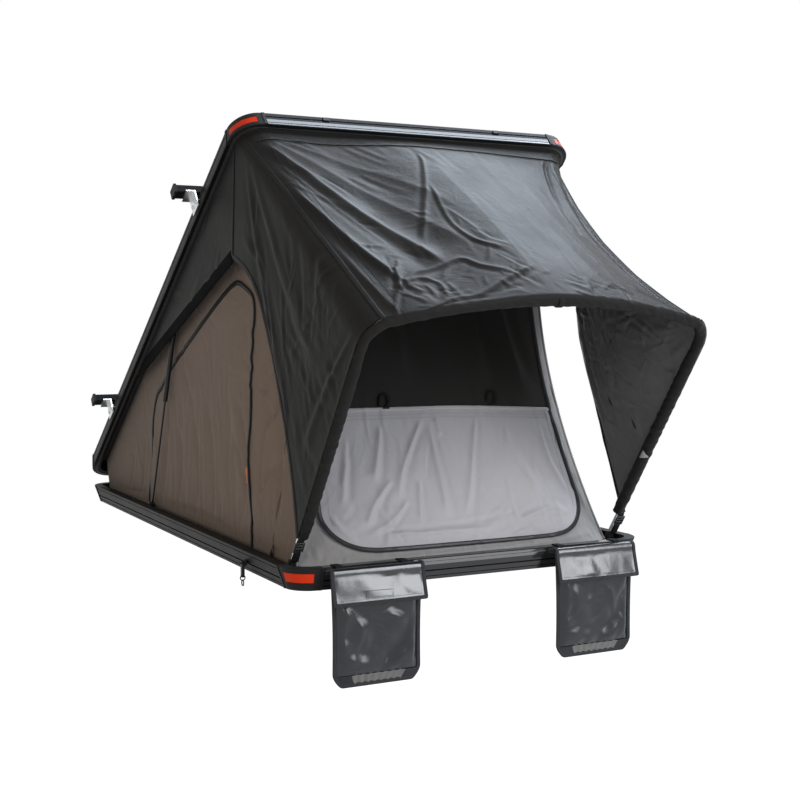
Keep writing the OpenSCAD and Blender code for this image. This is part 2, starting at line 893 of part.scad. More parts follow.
module sheet(grid, o, near, far) {
  polyhedron(sheet_points(grid, o, near, far), sheet_faces(len(grid) - 1, len(grid[0]) - 1), convexity = 8);
}
function part_of(grid, i0, i1, j0, j1) = [for (i = [i0 : i1]) [for (j = [j0 : j1]) grid[i][j]]];

// Walls stand on the base's shelf and reach the roof panel
wall_x = tent_w / 2 - rim_w - 40;
wall_foot = shelf_z + fit_gap;
wall_top = roof_z - fit_gap - cloth_t;
wall_corner_in = 138;
wall_corner_y = front_y + wall_corner_in;
wall_rear_in = 62;
wall_lid_in = 75;
wall_lid_rear = 70;
wall_n = 20;
wall_m = 10;
function wall_fold(u, v) = fold_h * sin(180 * u) * sin(180 * v)
  * (0.6 * sin(360 * (3 * u + 0.5 * v)) + 0.4 * sin(360 * (5 * u - 0.8 * v)));
function wall_at(u, v) = let (
  low = mix([-wall_x, wall_corner_y, wall_foot], [-wall_x, tent_l / 2 - wall_rear_in, wall_foot], u),
  high = mix(lid_pt([-wall_x, front_y + wall_lid_in, wall_top]),
    lid_pt([-wall_x, tent_l / 2 - wall_lid_rear, wall_top]), u)
) mix(low, high, v) + [-wall_fold(u, v), wall_sag * sin(180 * v) * pow(1 - u, 4), 0];
wall_grid = [for (i = [0 : wall_n]) [for (j = [0 : wall_m]) wall_at(i / wall_n, j / wall_m)]];
outward_left = [-1, 0, 0];
panel_gap = 0.4;
panel_t = 1.6;
canvas = [0.36, 0.34, 0.31];
module side_wall_left() color(canvas) sheet(wall_grid, outward_left, -cloth_t, 0);
module side_wall_right() mirror([1, 0, 0]) side_wall_left();
window_cols = [4, 14];
window_rows = [1, 7];
module window_panel_left() {
  color([0.4, 0.38, 0.34])
    sheet(part_of(wall_grid, window_cols[0], window_cols[1], window_rows[0], window_rows[1]),
      outward_left, panel_gap, panel_gap + panel_t);
}
module window_panel_right() mirror([1, 0, 0]) window_panel_left();
front_x = wall_x - cloth_t - fit_gap;
front_n = 16;
front_m = 10;
front_bow = 95;
front_in = 42;
function front_at(u, v) = let (
  low = [u * front_x, front_y + front_in + front_bow * pow(u, 4), wall_foot],
  high = lid_pt([u * front_x, front_y + wall_lid_in, wall_top])
) mix(low, high, v) + [0, sin(180 * v) * (wall_sag - fold_h * (1 - u * u) * sin(360 * (2.5 * u + 0.3 * v))), 0];
front_grid = [for (i = [0 : front_n]) [for (j = [0 : front_m]) front_at(1 - 2 * i / front_n, j / front_m)]];
outward_front = [0, -1, 0];
module front_wall() color([0.5, 0.5, 0.49]) sheet(front_grid, outward_front, -cloth_t, 0);
door_cols = [2, 14];
door_rows = [0, 8];
module door_panel() {
  color([0.55, 0.55, 0.55])
    sheet(part_of(front_grid, door_cols[0], door_cols[1], door_rows[0], door_rows[1]),
      outward_front, panel_gap, panel_gap + panel_t);
}
rear_n = 8;
rear_m = 2;
function rear_at(u, v) = mix(
  [u * front_x, tent_l / 2 - wall_rear_in, wall_foot],
  lid_pt([u * front_x, tent_l / 2 - wall_lid_rear, wall_top]), v)
  + [0, fold_h * sin(180 * v) * sin(540 * u), 0];
rear_grid = [for (i = [0 : rear_n]) [for (j = [0 : rear_m]) rear_at(2 * i / rear_n - 1, j / rear_m)]];
module rear_wall() color(canvas) sheet(rear_grid, [0, 1, 0], -cloth_t, 0);

// Awning sheets hang from the lid's rim to the hoop's sleeve
fly_edge = 35;
fly_in = 24;
fly_n = 20;
fly_m = 12;
fly_lid_x = tent_w / 2 - fly_edge;
fly_hoop_x = hoop_x - hoop_bend_r / 2;
fly_off = sleeve_r + ferrule_over + cloth_t + 4;
fly_top = lid_z - fit_gap;
fly_a = lid_pt([0, front_y + fly_in, fly_top]);
fly_b = hoop_pt(0, crown_s, 0);
fly_dir = (fly_b - fly_a) / norm(fly_b - fly_a);
fly_out = [0, fly_dir.z, -fly_dir.y];
function fly_fold(u, v) = fly_fold_h * sin(180 * v) * (
  0.5 * sin(360 * (1.6 * u + 1.1 * v)) + 0.35 * sin(360 * (2.7 * u - 0.9 * v)) - 0.6 * (1 - u * u));
// The sheet's top edge keeps one distance in from the lid's rim, round its corners too
corner_x = tent_w / 2 - corner_r;
function rim_in(x) = abs(x) < corner_x ? fly_in
  : corner_r - sqrt(pow(corner_r - fly_in, 2) - pow(abs(x) - corner_x, 2));
function fly_at(u, v) = let (
  top_x = u * fly_lid_x,
  high = lid_pt([top_x, front_y + rim_in(top_x), fly_top]),
  x = u * fly_hoop_x,
  low = hoop_pt(x, hoop_s(x), 0) + fly_out * fly_off
) mix(high, low, v) + fly_out * fly_fold(u, v);
fly_grid = [for (i = [0 : fly_n]) [for (j = [0 : fly_m]) fly_at(sin(180 * i / fly_n - 90), j / fly_m)]];
fly_black = [0.08, 0.08, 0.09];
module fly_canopy() color(fly_black) sheet(fly_grid, fly_out, -cloth_t, 0);

// Awning sides: a patch between the canopy's edge, the lid's rim, the hoop's leg and a free edge
side_n = 26;
side_m = 9;
bend_rows = 3;
bend_share = 1 / 6;
side_lap = 3.6;
fly_rim_in = 25;
fly_rim_x = tent_w / 2 - fly_rim_in;
fly_leg_gap = 3;
fly_leg_x = hoop_x + sleeve_r + fly_leg_gap + cloth_t;
leg_off = 10;
rim_bend = corner_r - fly_rim_in;
rim_from = acos((fly_lid_x + side_lap - corner_x) / rim_bend);
leg_bend = hoop_bend_r + fly_leg_x - hoop_x;
leg_from_angle = acos((fly_hoop_x + side_lap - hoop_x + hoop_bend_r) / leg_bend);
function side_lid(w) = w < bend_share
  ? let (k = rim_from * (1 - w / bend_share))
    lid_pt([-corner_x - rim_bend * cos(k), front_y + corner_r - rim_bend * sin(k), fly_top])
  : lid_pt([-fly_rim_x, mix(front_y + corner_r, clip_y, (w - bend_share) / (1 - bend_share)), fly_top]);
function side_leg(w) = w < bend_share
  ? let (k = leg_from_angle * (1 - w / bend_share))
    hoop_pt(-hoop_x + hoop_bend_r - leg_bend * cos(k), hoop_leg + leg_bend * sin(k), leg_off * w / bend_share)
  : hoop_pt(-fly_leg_x, mix(hoop_leg, sleeve_from, (w - bend_share) / (1 - bend_share)), leg_off);
// The canopy's edge, moved out of its way and on to both ends
function side_ridge(v) = fly_at(-1, v) + mix(side_lid(0) - fly_at(-1, 0), side_leg(0) - fly_at(-1, 1), v);
apex_in = 334;
apex_drop = 276;
apex_x = fly_rim_x - 4;
bow_up = 525;
bow_back = 384;
free_apex = lid_pt([-apex_x, front_y + apex_in, lid_z - apex_drop]);
free_bow = hoop_pt(-fly_leg_x - 8, bow_up, bow_back);
apex_share = 0.46;
function side_free(v) = v < apex_share
  ? mix(side_lid(1), free_apex, v / apex_share)
  : let (k = (v - apex_share) / (1 - apex_share))
    free_apex * pow(1 - k, 2) + free_bow * 2 * k * (1 - k) + side_leg(1) * k * k;
function side_fold(v, w) = fly_fold_h * 0.6 * sin(180 * w) * sin(180 * v) * sin(360 * (2.6 * v + 1.4 * w));
function side_at(v, w) = mix(side_ridge(v), side_free(v), w) + mix(side_lid(w), side_leg(w), v)
  - mix(mix(side_ridge(0), side_ridge(1), v), mix(side_lid(1), side_leg(1), v), w)
  - [max(0, side_fold(v, w)), 0, 0];
function side_row(j) = j < bend_rows ? bend_share * j / bend_rows
  : mix(bend_share, 1, (j - bend_rows) / (side_m - bend_rows));
side_grid = [for (i = [0 : side_n]) [for (j = [0 : side_m]) side_at(i / side_n, side_row(j))]];
module fly_side_left() color(fly_black) sheet(side_grid, outward_left, -cloth_t, 0);
module fly_side_right() mirror([1, 0, 0]) fly_side_left();

// Shoe bags hung over the front rim
bag_back = front_y - 8;
bag_wall = 3;
bag_top = seam_z - 6;
mouth_drop = 40;
bag_corner = 60;
bag_low = seam_z - bag_drop;
module bag_outline(in) {
  difference() {
    translate([-bag_w / 2 + in, bag_low + in])
      square([bag_w - 2 * in, bag_top - bag_low - in]);
    for (s = [0, 1])
      mirror([s, 0])
        translate([bag_w / 2, bag_low])
          rotate(45)
            square(bag_corner * 0.8 + 2 * in, center = true);
  }
}
module bag_slab(y0, depth) {
  translate([0, y0, 0])
    rotate([90, 0, 0])
      linear_extrude(depth)
        children();
}
module pouch() {
  color([0.04, 0.04, 0.045])
    difference() {
      bag_slab(bag_back, bag_d)
        bag_outline(0);
      bag_slab(bag_back - bag_wall, bag_d - 2 * bag_wall)
        difference() {
          bag_outline(bag_wall);
          translate([-bag_w, bag_top - mouth_drop])
            square([2 * bag_w, 2 * mouth_drop]);
        }
      translate([-bag_w, bag_back - bag_d - 1, bag_top - mouth_drop])
        cube([2 * bag_w, bag_d - bag_wall + 1, 2 * mouth_drop]);
    }
}
module bag_pouch_left() translate([bag_left_x, 0, 0]) pouch();
module bag_pouch_right() translate([bag_right_x, 0, 0]) pouch();
flap_t = 2.5;
flap_gap = 0.5;
flap_over = 4;
module flap() {
  color([0.05, 0.05, 0.055])
    translate([-bag_w / 2 - flap_over, 0, 0]) {
      translate([0, bag_back - bag_d - flap_gap - flap_t, bag_top + flap_gap])
        cube([bag_w + 2 * flap_over, bag_d + flap_gap + flap_t, flap_t]);
      translate([0, bag_back - bag_d - flap_gap - flap_t, seam_z - flap_drop])
        cube([bag_w + 2 * flap_over, flap_t, flap_drop - seam_z + bag_top + flap_gap + flap_t]);
    }
}
module bag_flap_left() translate([bag_left_x, 0, 0]) flap();
module bag_flap_right() translate([bag_right_x, 0, 0]) flap();
hang_w = 25;
hang_from = 45;
hang_t = 2;
hang_in = 14;
module hang_strap() {
  translate([-hang_w / 2, bag_back + fit_gap, seam_z + fit_gap])
    cube([hang_w, rim_w + front_y - bag_back, hang_t]);
  translate([-hang_w / 2, bag_back + fit_gap, bag_top - 12])
    cube([hang_w, hang_t, seam_z + fit_gap - bag_top + 12 + hang_t]);
  translate([-hang_w / 2, front_y + rim_w + fit_gap, seam_z - hang_in])
    cube([hang_w, hang_t, hang_in + fit_gap + hang_t]);
}
module bag_hang_straps() {
  color([0.04, 0.04, 0.04])
    for (x = [bag_left_x, bag_right_x], s = [-1, 1])
      translate([x + s * (bag_w / 2 - hang_from), 0, 0])
        hang_strap();
}

// Tie-down hooks on the side rails' slots
hook_in = 401;
hook_y = front_y + hook_in;
clip_out = 4;
hook_pin_r = 2.5;
hook_pin_len = 16;
slot_mid = (base_grooves[1][0] + base_grooves[1][1]) / 2;
slot_z = seam_z - base_h * slot_mid;
slot_x = tent_w / 2 - base_taper * slot_mid;
rail_clip_h = 16;
rail_clip_l = 26;
module rail_clips() {
  color([0.03, 0.03, 0.03])
    pair()
      translate([0, hook_y, slot_z]) {
        translate([slot_x + clip_out, -rail_clip_l / 2, -rail_clip_h / 2])
          cube([5, rail_clip_l, rail_clip_h]);
        translate([slot_x - slot_d + 1.5, -rail_clip_l / 2, -base_h * 0.035 + 0.6])
          cube([slot_d + clip_out, rail_clip_l, base_h * 0.07 - 1.2]);
        translate([slot_x + clip_out, 0, 0])
          rotate([0, 90, 0])
            cylinder(r = hook_pin_r, h = 5 + hook_pin_len);
        translate([slot_x + clip_out + 5 + hook_pin_len - 2, 0, 0])
          rotate([0, 90, 0])
            cylinder(r = hook_pin_r + 2, h = 2);
      }
}
tab_w = 12;
tab_t = 10;
tab_len = 46;
loop_r = 8;
loop_wire = 1.8;
drop_r = 9;
drop_wire = 2;
hook_x = slot_x + clip_out + 5 + fit_gap;
module tie_hook() {
  color([0.6, 0.61, 0.62])
    translate([hook_x, hook_y, slot_z]) {
      rotate([90, 0, 90])
        linear_extrude(tab_t)
          difference() {
            union() {
              circle(tab_w / 2);
              translate([-tab_w / 2, -tab_len])
                square([tab_w, tab_len]);
            }
            circle(hook_pin_r + run_gap);
            translate([0, -tab_len + 6])
              circle(loop_wire + 1.2);
          }
      translate([tab_t / 2, 0, -tab_len + 6 - loop_r])
        rotate([0, 0, 90])
          rotate([90, 0, 0])
            rotate([0, 90, 0])
              rotate_extrude()
                translate([loop_r, 0])
                  circle(loop_wire);
      translate([tab_t / 2, 0, -tab_len + 6 - 2 * loop_r - drop_r + 0.8])
        rotate([0, 90, 0])
          rotate_extrude()
            translate([drop_r, 0])
              circle(drop_wire);
    }
}
module tie_hook_right() tie_hook();
module tie_hook_left() mirror([1, 0, 0]) tie_hook();

base_rail_left();
base_rail_right();
base_rail_front();
base_rail_rear();
base_corner_covers();
base_reflectors();
floor_panel();
mounting_rails();
mattress();
hinge_base_leaves();
hinge_pins();
strut_base_studs();
hoop_brackets();
bag_hang_straps();
rail_clips();
lid_rail_left();
lid_rail_right();
lid_rail_front();
lid_rail_rear();
lid_corner_covers();
lid_reflectors();
roof_panel();
roof_lining();
lid_seal();
hinge_lid_leaves();
strut_lid_studs();
crossbar_front();
crossbar_rear();
crossbar_end_caps();
crossbar_brackets();
bracket_bolts();
lid_slot_anchors();
fly_clips();
strut_rod_left();
strut_rod_right();
strut_cylinder_left();
strut_cylinder_right();
hoop_pole();
hoop_sleeve();
hoop_foot_bars();
hoop_straps();
side_wall_left();
side_wall_right();
front_wall();
rear_wall();
door_panel();
window_panel_left();
window_panel_right();
fly_canopy();
fly_side_left();
fly_side_right();
bag_pouch_left();
bag_pouch_right();
bag_flap_left();
bag_flap_right();
tie_hook_left();
tie_hook_right();
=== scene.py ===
"""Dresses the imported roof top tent: fabrics, zips, seams and finishes over its CAD frame."""
import logging
import math
from dataclasses import dataclass
from enum import Enum
from typing import Optional, Sequence

import bpy
import numpy as np
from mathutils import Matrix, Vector


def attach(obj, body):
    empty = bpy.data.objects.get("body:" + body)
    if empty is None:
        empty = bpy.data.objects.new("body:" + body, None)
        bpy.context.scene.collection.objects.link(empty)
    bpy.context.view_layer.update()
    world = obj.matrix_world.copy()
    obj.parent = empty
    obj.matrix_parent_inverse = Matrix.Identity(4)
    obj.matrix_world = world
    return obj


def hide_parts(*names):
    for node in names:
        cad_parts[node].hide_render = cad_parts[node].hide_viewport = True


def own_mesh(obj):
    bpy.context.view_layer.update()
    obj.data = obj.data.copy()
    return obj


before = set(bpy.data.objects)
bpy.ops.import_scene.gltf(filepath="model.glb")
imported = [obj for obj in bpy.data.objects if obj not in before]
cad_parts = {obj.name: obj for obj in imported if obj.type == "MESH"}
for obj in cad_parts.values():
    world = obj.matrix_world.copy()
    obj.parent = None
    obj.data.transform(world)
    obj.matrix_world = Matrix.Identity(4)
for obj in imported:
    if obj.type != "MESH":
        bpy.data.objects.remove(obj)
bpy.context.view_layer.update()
LOG = logging.getLogger("roof_tent")
Array = np.ndarray
Obj = bpy.types.Object
Mat = bpy.types.Material
Node = bpy.types.Node
Socket = bpy.types.NodeSocket
Tree = bpy.types.NodeTree


class Side(Enum):
    """The tent's two long sides, seen from the door."""

    LEFT = -1
    RIGHT = 1

    @property
    def word(self) -> str:
        """The side's name, as it stands in node names."""
        return self.name.lower()


def vec(x, y, z) -> Array:
    """Stacks three coordinates, numbers or arrays, into points."""
    return np.stack(np.broadcast_arrays(np.asarray(x, float), np.asarray(y, float), np.asarray(z, float)), -1)


def mix(a, b, t) -> Array:
    """A share t of the way from a to b, where t may be an array."""
    t = np.asarray(t, float)
    a, b = np.asarray(a, float), np.asarray(b, float)
    return a + (b - a) * (t[..., None] if t.ndim and a.ndim else t)


def unit(v: Array) -> Array:
    """Vectors at length one."""
    return v / np.maximum(np.linalg.norm(v, axis=-1, keepdims=True), 1e-9)


def ease(t) -> Array:
    """A smooth step from 0 to 1."""
    t = np.clip(t, 0, 1)
    return t * t * (3 - 2 * t)


def smooth_path(points: Sequence, count: int) -> Array:
    """Runs a smooth curve through points and spaces it evenly.

    Args:
        points: the points that it passes.
        count: how many points it gets.

    Returns:
        The curve's points.
    """
    p = np.asarray(points, float)
    q = np.vstack([2 * p[0] - p[1], p, 2 * p[-1] - p[-2]])
    out = []
    for i in range(1, len(q) - 2):
        t = np.linspace(0, 1, 24, endpoint=i == len(q) - 3)[:, None]
        a, b, c, d = q[i - 1], q[i], q[i + 1], q[i + 2]
        second, third = 2 * a - 5 * b + 4 * c - d, 3 * b - a - 3 * c + d
        out.append(0.5 * (2 * b + (c - a) * t + second * t ** 2 + third * t ** 3))
    return even(np.vstack(out), count)


def run_of(points: Array) -> Array:
    """How far along its line each point lies."""
    return np.r_[0, np.cumsum(np.linalg.norm(np.diff(points, axis=0), axis=1))]


def even(points: Array, count: int) -> Array:
    """Spaces points evenly along the line that they make."""
    run = run_of(points)
    at = np.linspace(0, run[-1], count)
    return np.stack([np.interp(at, run, points[:, k]) for k in range(points.shape[1])], 1)


def smoothed(line: Array, times: int) -> Array:
    """A line whose inner points are drawn towards their neighbours."""
    for _ in range(times):
        line[1:-1] = 0.5 * line[1:-1] + 0.25 * (line[2:] + line[:-2])
    return line


def unit_grid(n: int, m: int, low: float = 0.0) -> Sequence[Array]:
    """Two coordinates of n by m places: from low to 1, and from 0 to 1."""
    return np.meshgrid(np.linspace(low, 1, n), np.linspace(0, 1, m), indexing="ij")


def coons(first: Array, last: Array, low: Array, high: Array) -> Array:
    """Fills a patch between four edges.

    Args:
        first: the edge at the start of low and high.
        last: the edge at their end.
        low: the edge from first's start to last's start.
        high: the edge from first's end to last's end.

    Returns:
        Points, by low's steps and then by first's steps.
    """
    n, m = len(low), len(first)
    v, w = np.linspace(0, 1, n)[:, None, None], np.linspace(0, 1, m)[None, :, None]
    flat = (1 - v) * (1 - w) * low[0] + (1 - v) * w * high[0] + v * (1 - w) * low[-1] + v * w * high[-1]
    return (1 - w) * low[:, None] + w * high[:, None] + (1 - v) * first[None] + v * last[None] - flat


@dataclass(frozen=True)
class Layout:
    """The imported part's sizes in metres, and the surfaces that follow from them.

    Attributes:
        half_w, half_l, corner: the shells' half width, half length and corner radius.
        seam, shelf: the levels of the joint between the shells and of the shelf that the walls stand on.
        lid_under, roof: the levels of the shut lid's lower edge and of its roof's underside.
        hinge_y, hinge_z, open_angle: the lid's hinge and how far it is open.
        hoop_x, hoop_y, hoop_angle, hoop_leg: the place of the hoop's feet, its slope and its legs' length.
        bend, bow: the radii of the hoop's corners and of its crossbar.
        sleeve, sleeve_from, fly_gap: the sleeve's radius, its start on the leg and the awning's distance from it.
        clip_y: the clips that hold the awning's rear points.
        wall_x, wall_half: the side walls' place and half the front wall's width.
        wall_front, wall_rear: how far in from the lid's ends the walls meet it.
        foot_front, foot_corner, foot_rear: the same at the base, in the front's middle, its corners and the rear.
        tuck, sag: how far the front corners and the front wall are drawn in.
        fly_half, fly_in: half the awning's width at the lid, and how far in from the lid's outline it is held.
        gap, roof_gap: how far cloth stays off the shelf or the lid's edge, and off the roof.
    """

    half_w: float = 0.65
    half_l: float = 1.183
    corner: float = 0.1
    seam: float = 0.097
    shelf: float = 0.079
    lid_under: float = 0.103
    roof: float = 0.147
    hinge_y: float = 1.225
    hinge_z: float = 0.080
    open_angle: float = math.radians(34.35)
    hoop_x: float = 0.58
    hoop_y: float = -1.053
    hoop_angle: float = math.radians(55)
    hoop_leg: float = 0.807
    bend: float = 0.09
    bow: float = 1.9
    sleeve: float = 0.0165
    sleeve_from: float = 0.105
    fly_gap: float = 0.003
    clip_y: float = 0.31
    wall_x: float = 0.575
    wall_half: float = 0.5717
    wall_front: float = 0.075
    wall_rear: float = 0.07
    foot_front: float = 0.042
    foot_corner: float = 0.138
    foot_rear: float = 0.062
    tuck: float = 0.072
    sag: float = 0.09
    fly_half: float = 0.615
    fly_in: float = 0.024
    gap: float = 0.0003
    roof_gap: float = 0.0033

    def lid_pt(self, x, y, z) -> Array:
        """A point of the shut lid at its opened place."""
        c, s = math.cos(self.open_angle), math.sin(self.open_angle)
        dy, dz = np.asarray(y, float) - self.hinge_y, np.asarray(z, float) - self.hinge_z
        return vec(x, self.hinge_y + dy * c + dz * s, self.hinge_z - dy * s + dz * c)

    def hoop_pt(self, x, s, n) -> Array:
        """A point by the hoop's plane: across, along the leg, and off it towards the lid."""
        c, k = math.cos(self.hoop_angle), math.sin(self.hoop_angle)
        s, n = np.asarray(s, float), np.asarray(n, float)
        return vec(x, self.hoop_y - s * c + n * k, self.seam + s * k + n * c)

    @property
    def bow_half(self) -> float:
        """Half the angle of the hoop's bowed crossbar."""
        return math.asin((self.hoop_x - self.bend) / (self.bow - self.bend))

    @property
    def bow_centre(self) -> float:
        """The bow's centre along the leg's direction."""
        return self.hoop_leg + self.bend * math.cos(self.bow_half) - self.bow * math.cos(self.bow_half)

    def hoop_s(self, x) -> Array:
        """How far up the hoop its centre line lies at a distance from the middle."""
        x = np.abs(np.asarray(x, float))
        bow = self.bow_centre + np.sqrt(self.bow ** 2 - x ** 2)
        turn = self.hoop_leg + np.sqrt(np.maximum(0, self.bend ** 2 - (x - self.hoop_x + self.bend) ** 2))
        return np.where(x < self.bow * math.sin(self.bow_half), bow, turn)

    def hoop_line(self, start: float, count: int) -> Array:
        """The hoop's centre line from one foot to the other, from a height along the legs."""
        in_leg, in_turn, in_bow = 40, 24, 90
        legs = np.linspace(start, self.hoop_leg, in_leg)
        turn = np.linspace(math.pi, math.pi / 2 + self.bow_half, in_turn)
        arc = np.linspace(-self.bow_half, self.bow_half, in_bow)
        x = np.r_[np.full(in_leg, -self.hoop_x), -self.hoop_x + self.bend + self.bend * np.cos(turn),
                  self.bow * np.sin(arc)]
        s = np.r_[legs, self.hoop_leg + self.bend * np.sin(turn), self.bow_centre + self.bow * np.cos(arc)]
        one_side = slice(in_leg + in_turn)
        x, s = np.r_[x, -x[one_side][::-1]], np.r_[s, s[one_side][::-1]]
        return even(self.hoop_pt(x, s, 0.0), count)

    def rim_in(self, x) -> Array:
        """How far the awning's edge lies in from the lid's front, round its corners too."""
        x = np.abs(np.asarray(x, float))
        past = np.maximum(0, x - self.half_w + self.corner)
        return self.corner - np.sqrt(np.maximum(0, (self.corner - self.fly_in) ** 2 - past ** 2))

    @property
    def fly_out(self) -> Array:
        """The canopy's outward direction."""
        a = self.lid_pt(0.0, -self.half_l + self.fly_in, self.lid_under)
        d = unit(self.hoop_pt(0.0, self.bow_centre + self.bow, 0.0) - a)
        return np.array([0.0, d[2], -d[1]])

    def canopy(self, u, v) -> Array:
        """The canopy's smooth surface: u across from -1 to 1, v from the lid to the hoop."""
        u = np.asarray(u, float)
        top, x = u * self.fly_half, u * (self.hoop_x - self.bend / 2)
        high = self.lid_pt(top, -self.half_l + self.rim_in(top), self.lid_under - self.gap)
        low = self.hoop_pt(x, self.hoop_s(x), 0.0) + self.fly_out * (self.sleeve + self.fly_gap)
        return high + (low - high) * np.asarray(v, float)[..., None]

    def front(self, u, v) -> Array:
        """The door wall's smooth surface: u across from -1 to 1, v from the base to the lid."""
        u, v = np.asarray(u, float), np.asarray(v, float)
        x = u * (self.wall_half - self.tuck * np.sin(np.pi * v) ** 0.8)
        low = vec(x, -self.half_l + self.foot_front + 0.095 * u ** 4, self.shelf + self.gap)
        high = self.lid_pt(x, -self.half_l + self.wall_front, self.roof - self.roof_gap)
        return low + (high - low) * v[..., None] + vec(0.0, self.sag * np.sin(np.pi * v), 0.0)

    def side(self, u, v) -> Array:
        """The left wall's smooth surface: u from front to rear, v from the base to the lid."""
        u, v = np.asarray(u, float), np.asarray(v, float)
        pull = self.tuck * np.sin(np.pi * v) ** 0.8 * np.clip(1 - u / 0.25, 0, 1) ** 3
        x = -self.wall_x + pull
        foot = mix(-self.half_l + self.foot_corner, self.half_l - self.foot_rear, u)
        head = mix(-self.half_l + self.wall_front, self.half_l - self.wall_rear, u)
        low = vec(x, foot, self.shelf + self.gap)
        high = self.lid_pt(x, head, self.roof - self.roof_gap)
        return low + (high - low) * v[..., None] + vec(0.0, self.sag * np.sin(np.pi * v) * (1 - u) ** 4, 0.0)


PLAN = Layout()


def mesh_object(name: str, points: Array, faces: list, uv: Optional[Array] = None) -> Obj:
    """Makes a smooth mesh object at the origin.

    Args:
        name: the object's name.
        points: its points.
        faces: its faces, as lists of point numbers.
        uv: a UV place for each point.

    Returns:
        The new object.
    """
    mesh = bpy.data.meshes.new(name)
    mesh.from_pydata([tuple(p) for p in np.asarray(points, float).tolist()], [], faces)
    mesh.update()
    if uv is not None:
        layer = mesh.uv_layers.new(name="UVMap")
        index = np.zeros(len(mesh.loops), np.int32)
        mesh.loops.foreach_get("vertex_index", index)
        layer.data.foreach_set("uv", np.asarray(uv, np.float32)[index].ravel())
    mesh.shade_smooth()
    obj = bpy.data.objects.new(name, mesh)
    bpy.context.scene.collection.objects.link(obj)
    return obj


def grid_faces(n: int, m: int, flip: bool, wrap: bool = False) -> list:
    """Faces of a grid of n by m points, with its second direction closed where wrap is set."""
    out = []
    for i in range(n - 1):
        for j in range(m if wrap else m - 1):
            k = (j + 1) % m
            quad = [i * m + j, (i + 1) * m + j, (i + 1) * m + k, i * m + k]
            out.append(quad[::-1] if flip else quad)
    return out


def normals(grid: Array) -> Array:
    """Unit normals of a grid of points."""
    return unit(np.cross(np.gradient(grid, axis=0), np.gradient(grid, axis=1)))


def flat_uv(grid: Array) -> Array:
    """A sheet's UV places in metres, by the runs of its two middle lines."""
    n, m = grid.shape[:2]
    return np.stack(np.meshgrid(run_of(grid[:, m // 2]), run_of(grid[n // 2]), indexing="ij"), -1)


def sheet_object(name: str, grid: Array, outward: Sequence, thick: float = 0.0012) -> Obj:
    """Makes a cloth sheet from a grid of points.

    Args:
        name: the object's name.
        grid: its points, in two directions.
        outward: roughly where its face looks.
        thick: the cloth's thickness, kept on the inner side.

    Returns:
        The new object.
    """
    n, m = grid.shape[:2]
    flip = float((normals(grid) @ np.asarray(outward, float)).mean()) < 0
    obj = mesh_object(name, grid.reshape(-1, 3), grid_faces(n, m, flip), flat_uv(grid).reshape(-1, 2))
    wall = obj.modifiers.new("cloth", "SOLIDIFY")
    wall.thickness, wall.offset, wall.use_even_offset = thick, -1.0, False
    return obj


def lined_sheet(name: str, grid: Array, outward: Sequence, thick: float) -> Obj:
    """Makes a finely folded sheet whose hidden inner side has half as many points each way.

    Args:
        name: the object's name.
        grid: its points, an odd number in both directions.
        outward: roughly where its face looks.
        thick: the distance between its two sides.

    Returns:
        The new object.
    """
    n, m = grid.shape[:2]
    face = normals(grid)
    flip = float((face @ np.asarray(outward, float)).mean()) < 0
    inner = (grid + face * (thick if flip else -thick))[::2, ::2]
    a, b = inner.shape[:2]
    fine, coarse = np.arange(n * m).reshape(n, m), n * m + np.arange(a * b).reshape(a, b)
    borders = ((fine[0], coarse[0]), (fine[-1, ::-1], coarse[-1, ::-1]),
               (fine[::-1, 0], coarse[::-1, 0]), (fine[:, -1], coarse[:, -1]))
    rims = []
    for far, near in borders:
        rims += [[far[2 * k], far[2 * k + 1], far[2 * k + 2], near[k + 1], near[k]] for k in range(len(near) - 1)]
    rims = [[int(p) for p in (rim[::-1] if flip else rim)] for rim in rims]
    lining = [[p + n * m for p in quad] for quad in grid_faces(a, b, not flip)]
    points = np.vstack([grid.reshape(-1, 3), inner.reshape(-1, 3)])
    uv = flat_uv(grid)
    uv = np.vstack([uv.reshape(-1, 2), uv[::2, ::2].reshape(-1, 2)])
    return mesh_object(name, points, grid_faces(n, m, flip) + lining + rims, uv)


def rounded_section(w: float, t: float, count: int = 12, power: float = 4.0) -> Array:
    """A flat strap's or cord's section: a rounded box of width w and thickness t."""
    a = np.linspace(0, 2 * np.pi, count, endpoint=False)
    c, s = np.cos(a), np.sin(a)
    r = (np.abs(c) ** power + np.abs(s) ** power) ** (-1 / power)
    return np.stack([w / 2 * c * r, t / 2 * s * r], 1)


class Strip(Enum):
    """Straps, tapes, hems and bindings: width, thickness and, for round ones, points and roundness."""

    RIDGE_TAPE = (0.016, 0.0024)
    LID_HEM = (0.007, 0.0045)
    FLY_HEM = (0.018, 0.0035)
    # The gusset hem is widened to carry painted shadow as well as the hem.
    GUSSET_HEM = (0.046, 0.004)
    GUSSET_SEAM = (0.014, 0.0026)
    KEDER = (0.0055, 0.0052, 10, 2.0)
    CROWN_LOOP = (0.0022, 0.018)
    FOOT_STRAP = (0.025, 0.0018)
    STRAP_TAIL = (0.022, 0.0016)
    CORNER_PIPING = (0.008, 0.007, 10, 2.0)
    DOOR_ZIP = (0.0145, 0.005)
    DOOR_HEM = (0.012, 0.003)
    DOOR_TIE = (0.010, 0.002)
    SIDE_SEAM = (0.012, 0.0012)
    SIDE_ZIP = (0.017, 0.004)
    GROUND_LOOP = (0.012, 0.002)
    BAG_BINDING = (0.013, 0.0065)
    FLAP_BINDING = (0.012, 0.0045)
    HANG_STRAP = (0.025, 0.0016)

    @property
    def section(self) -> Array:
        """The strip's section."""
        return rounded_section(*self.value)


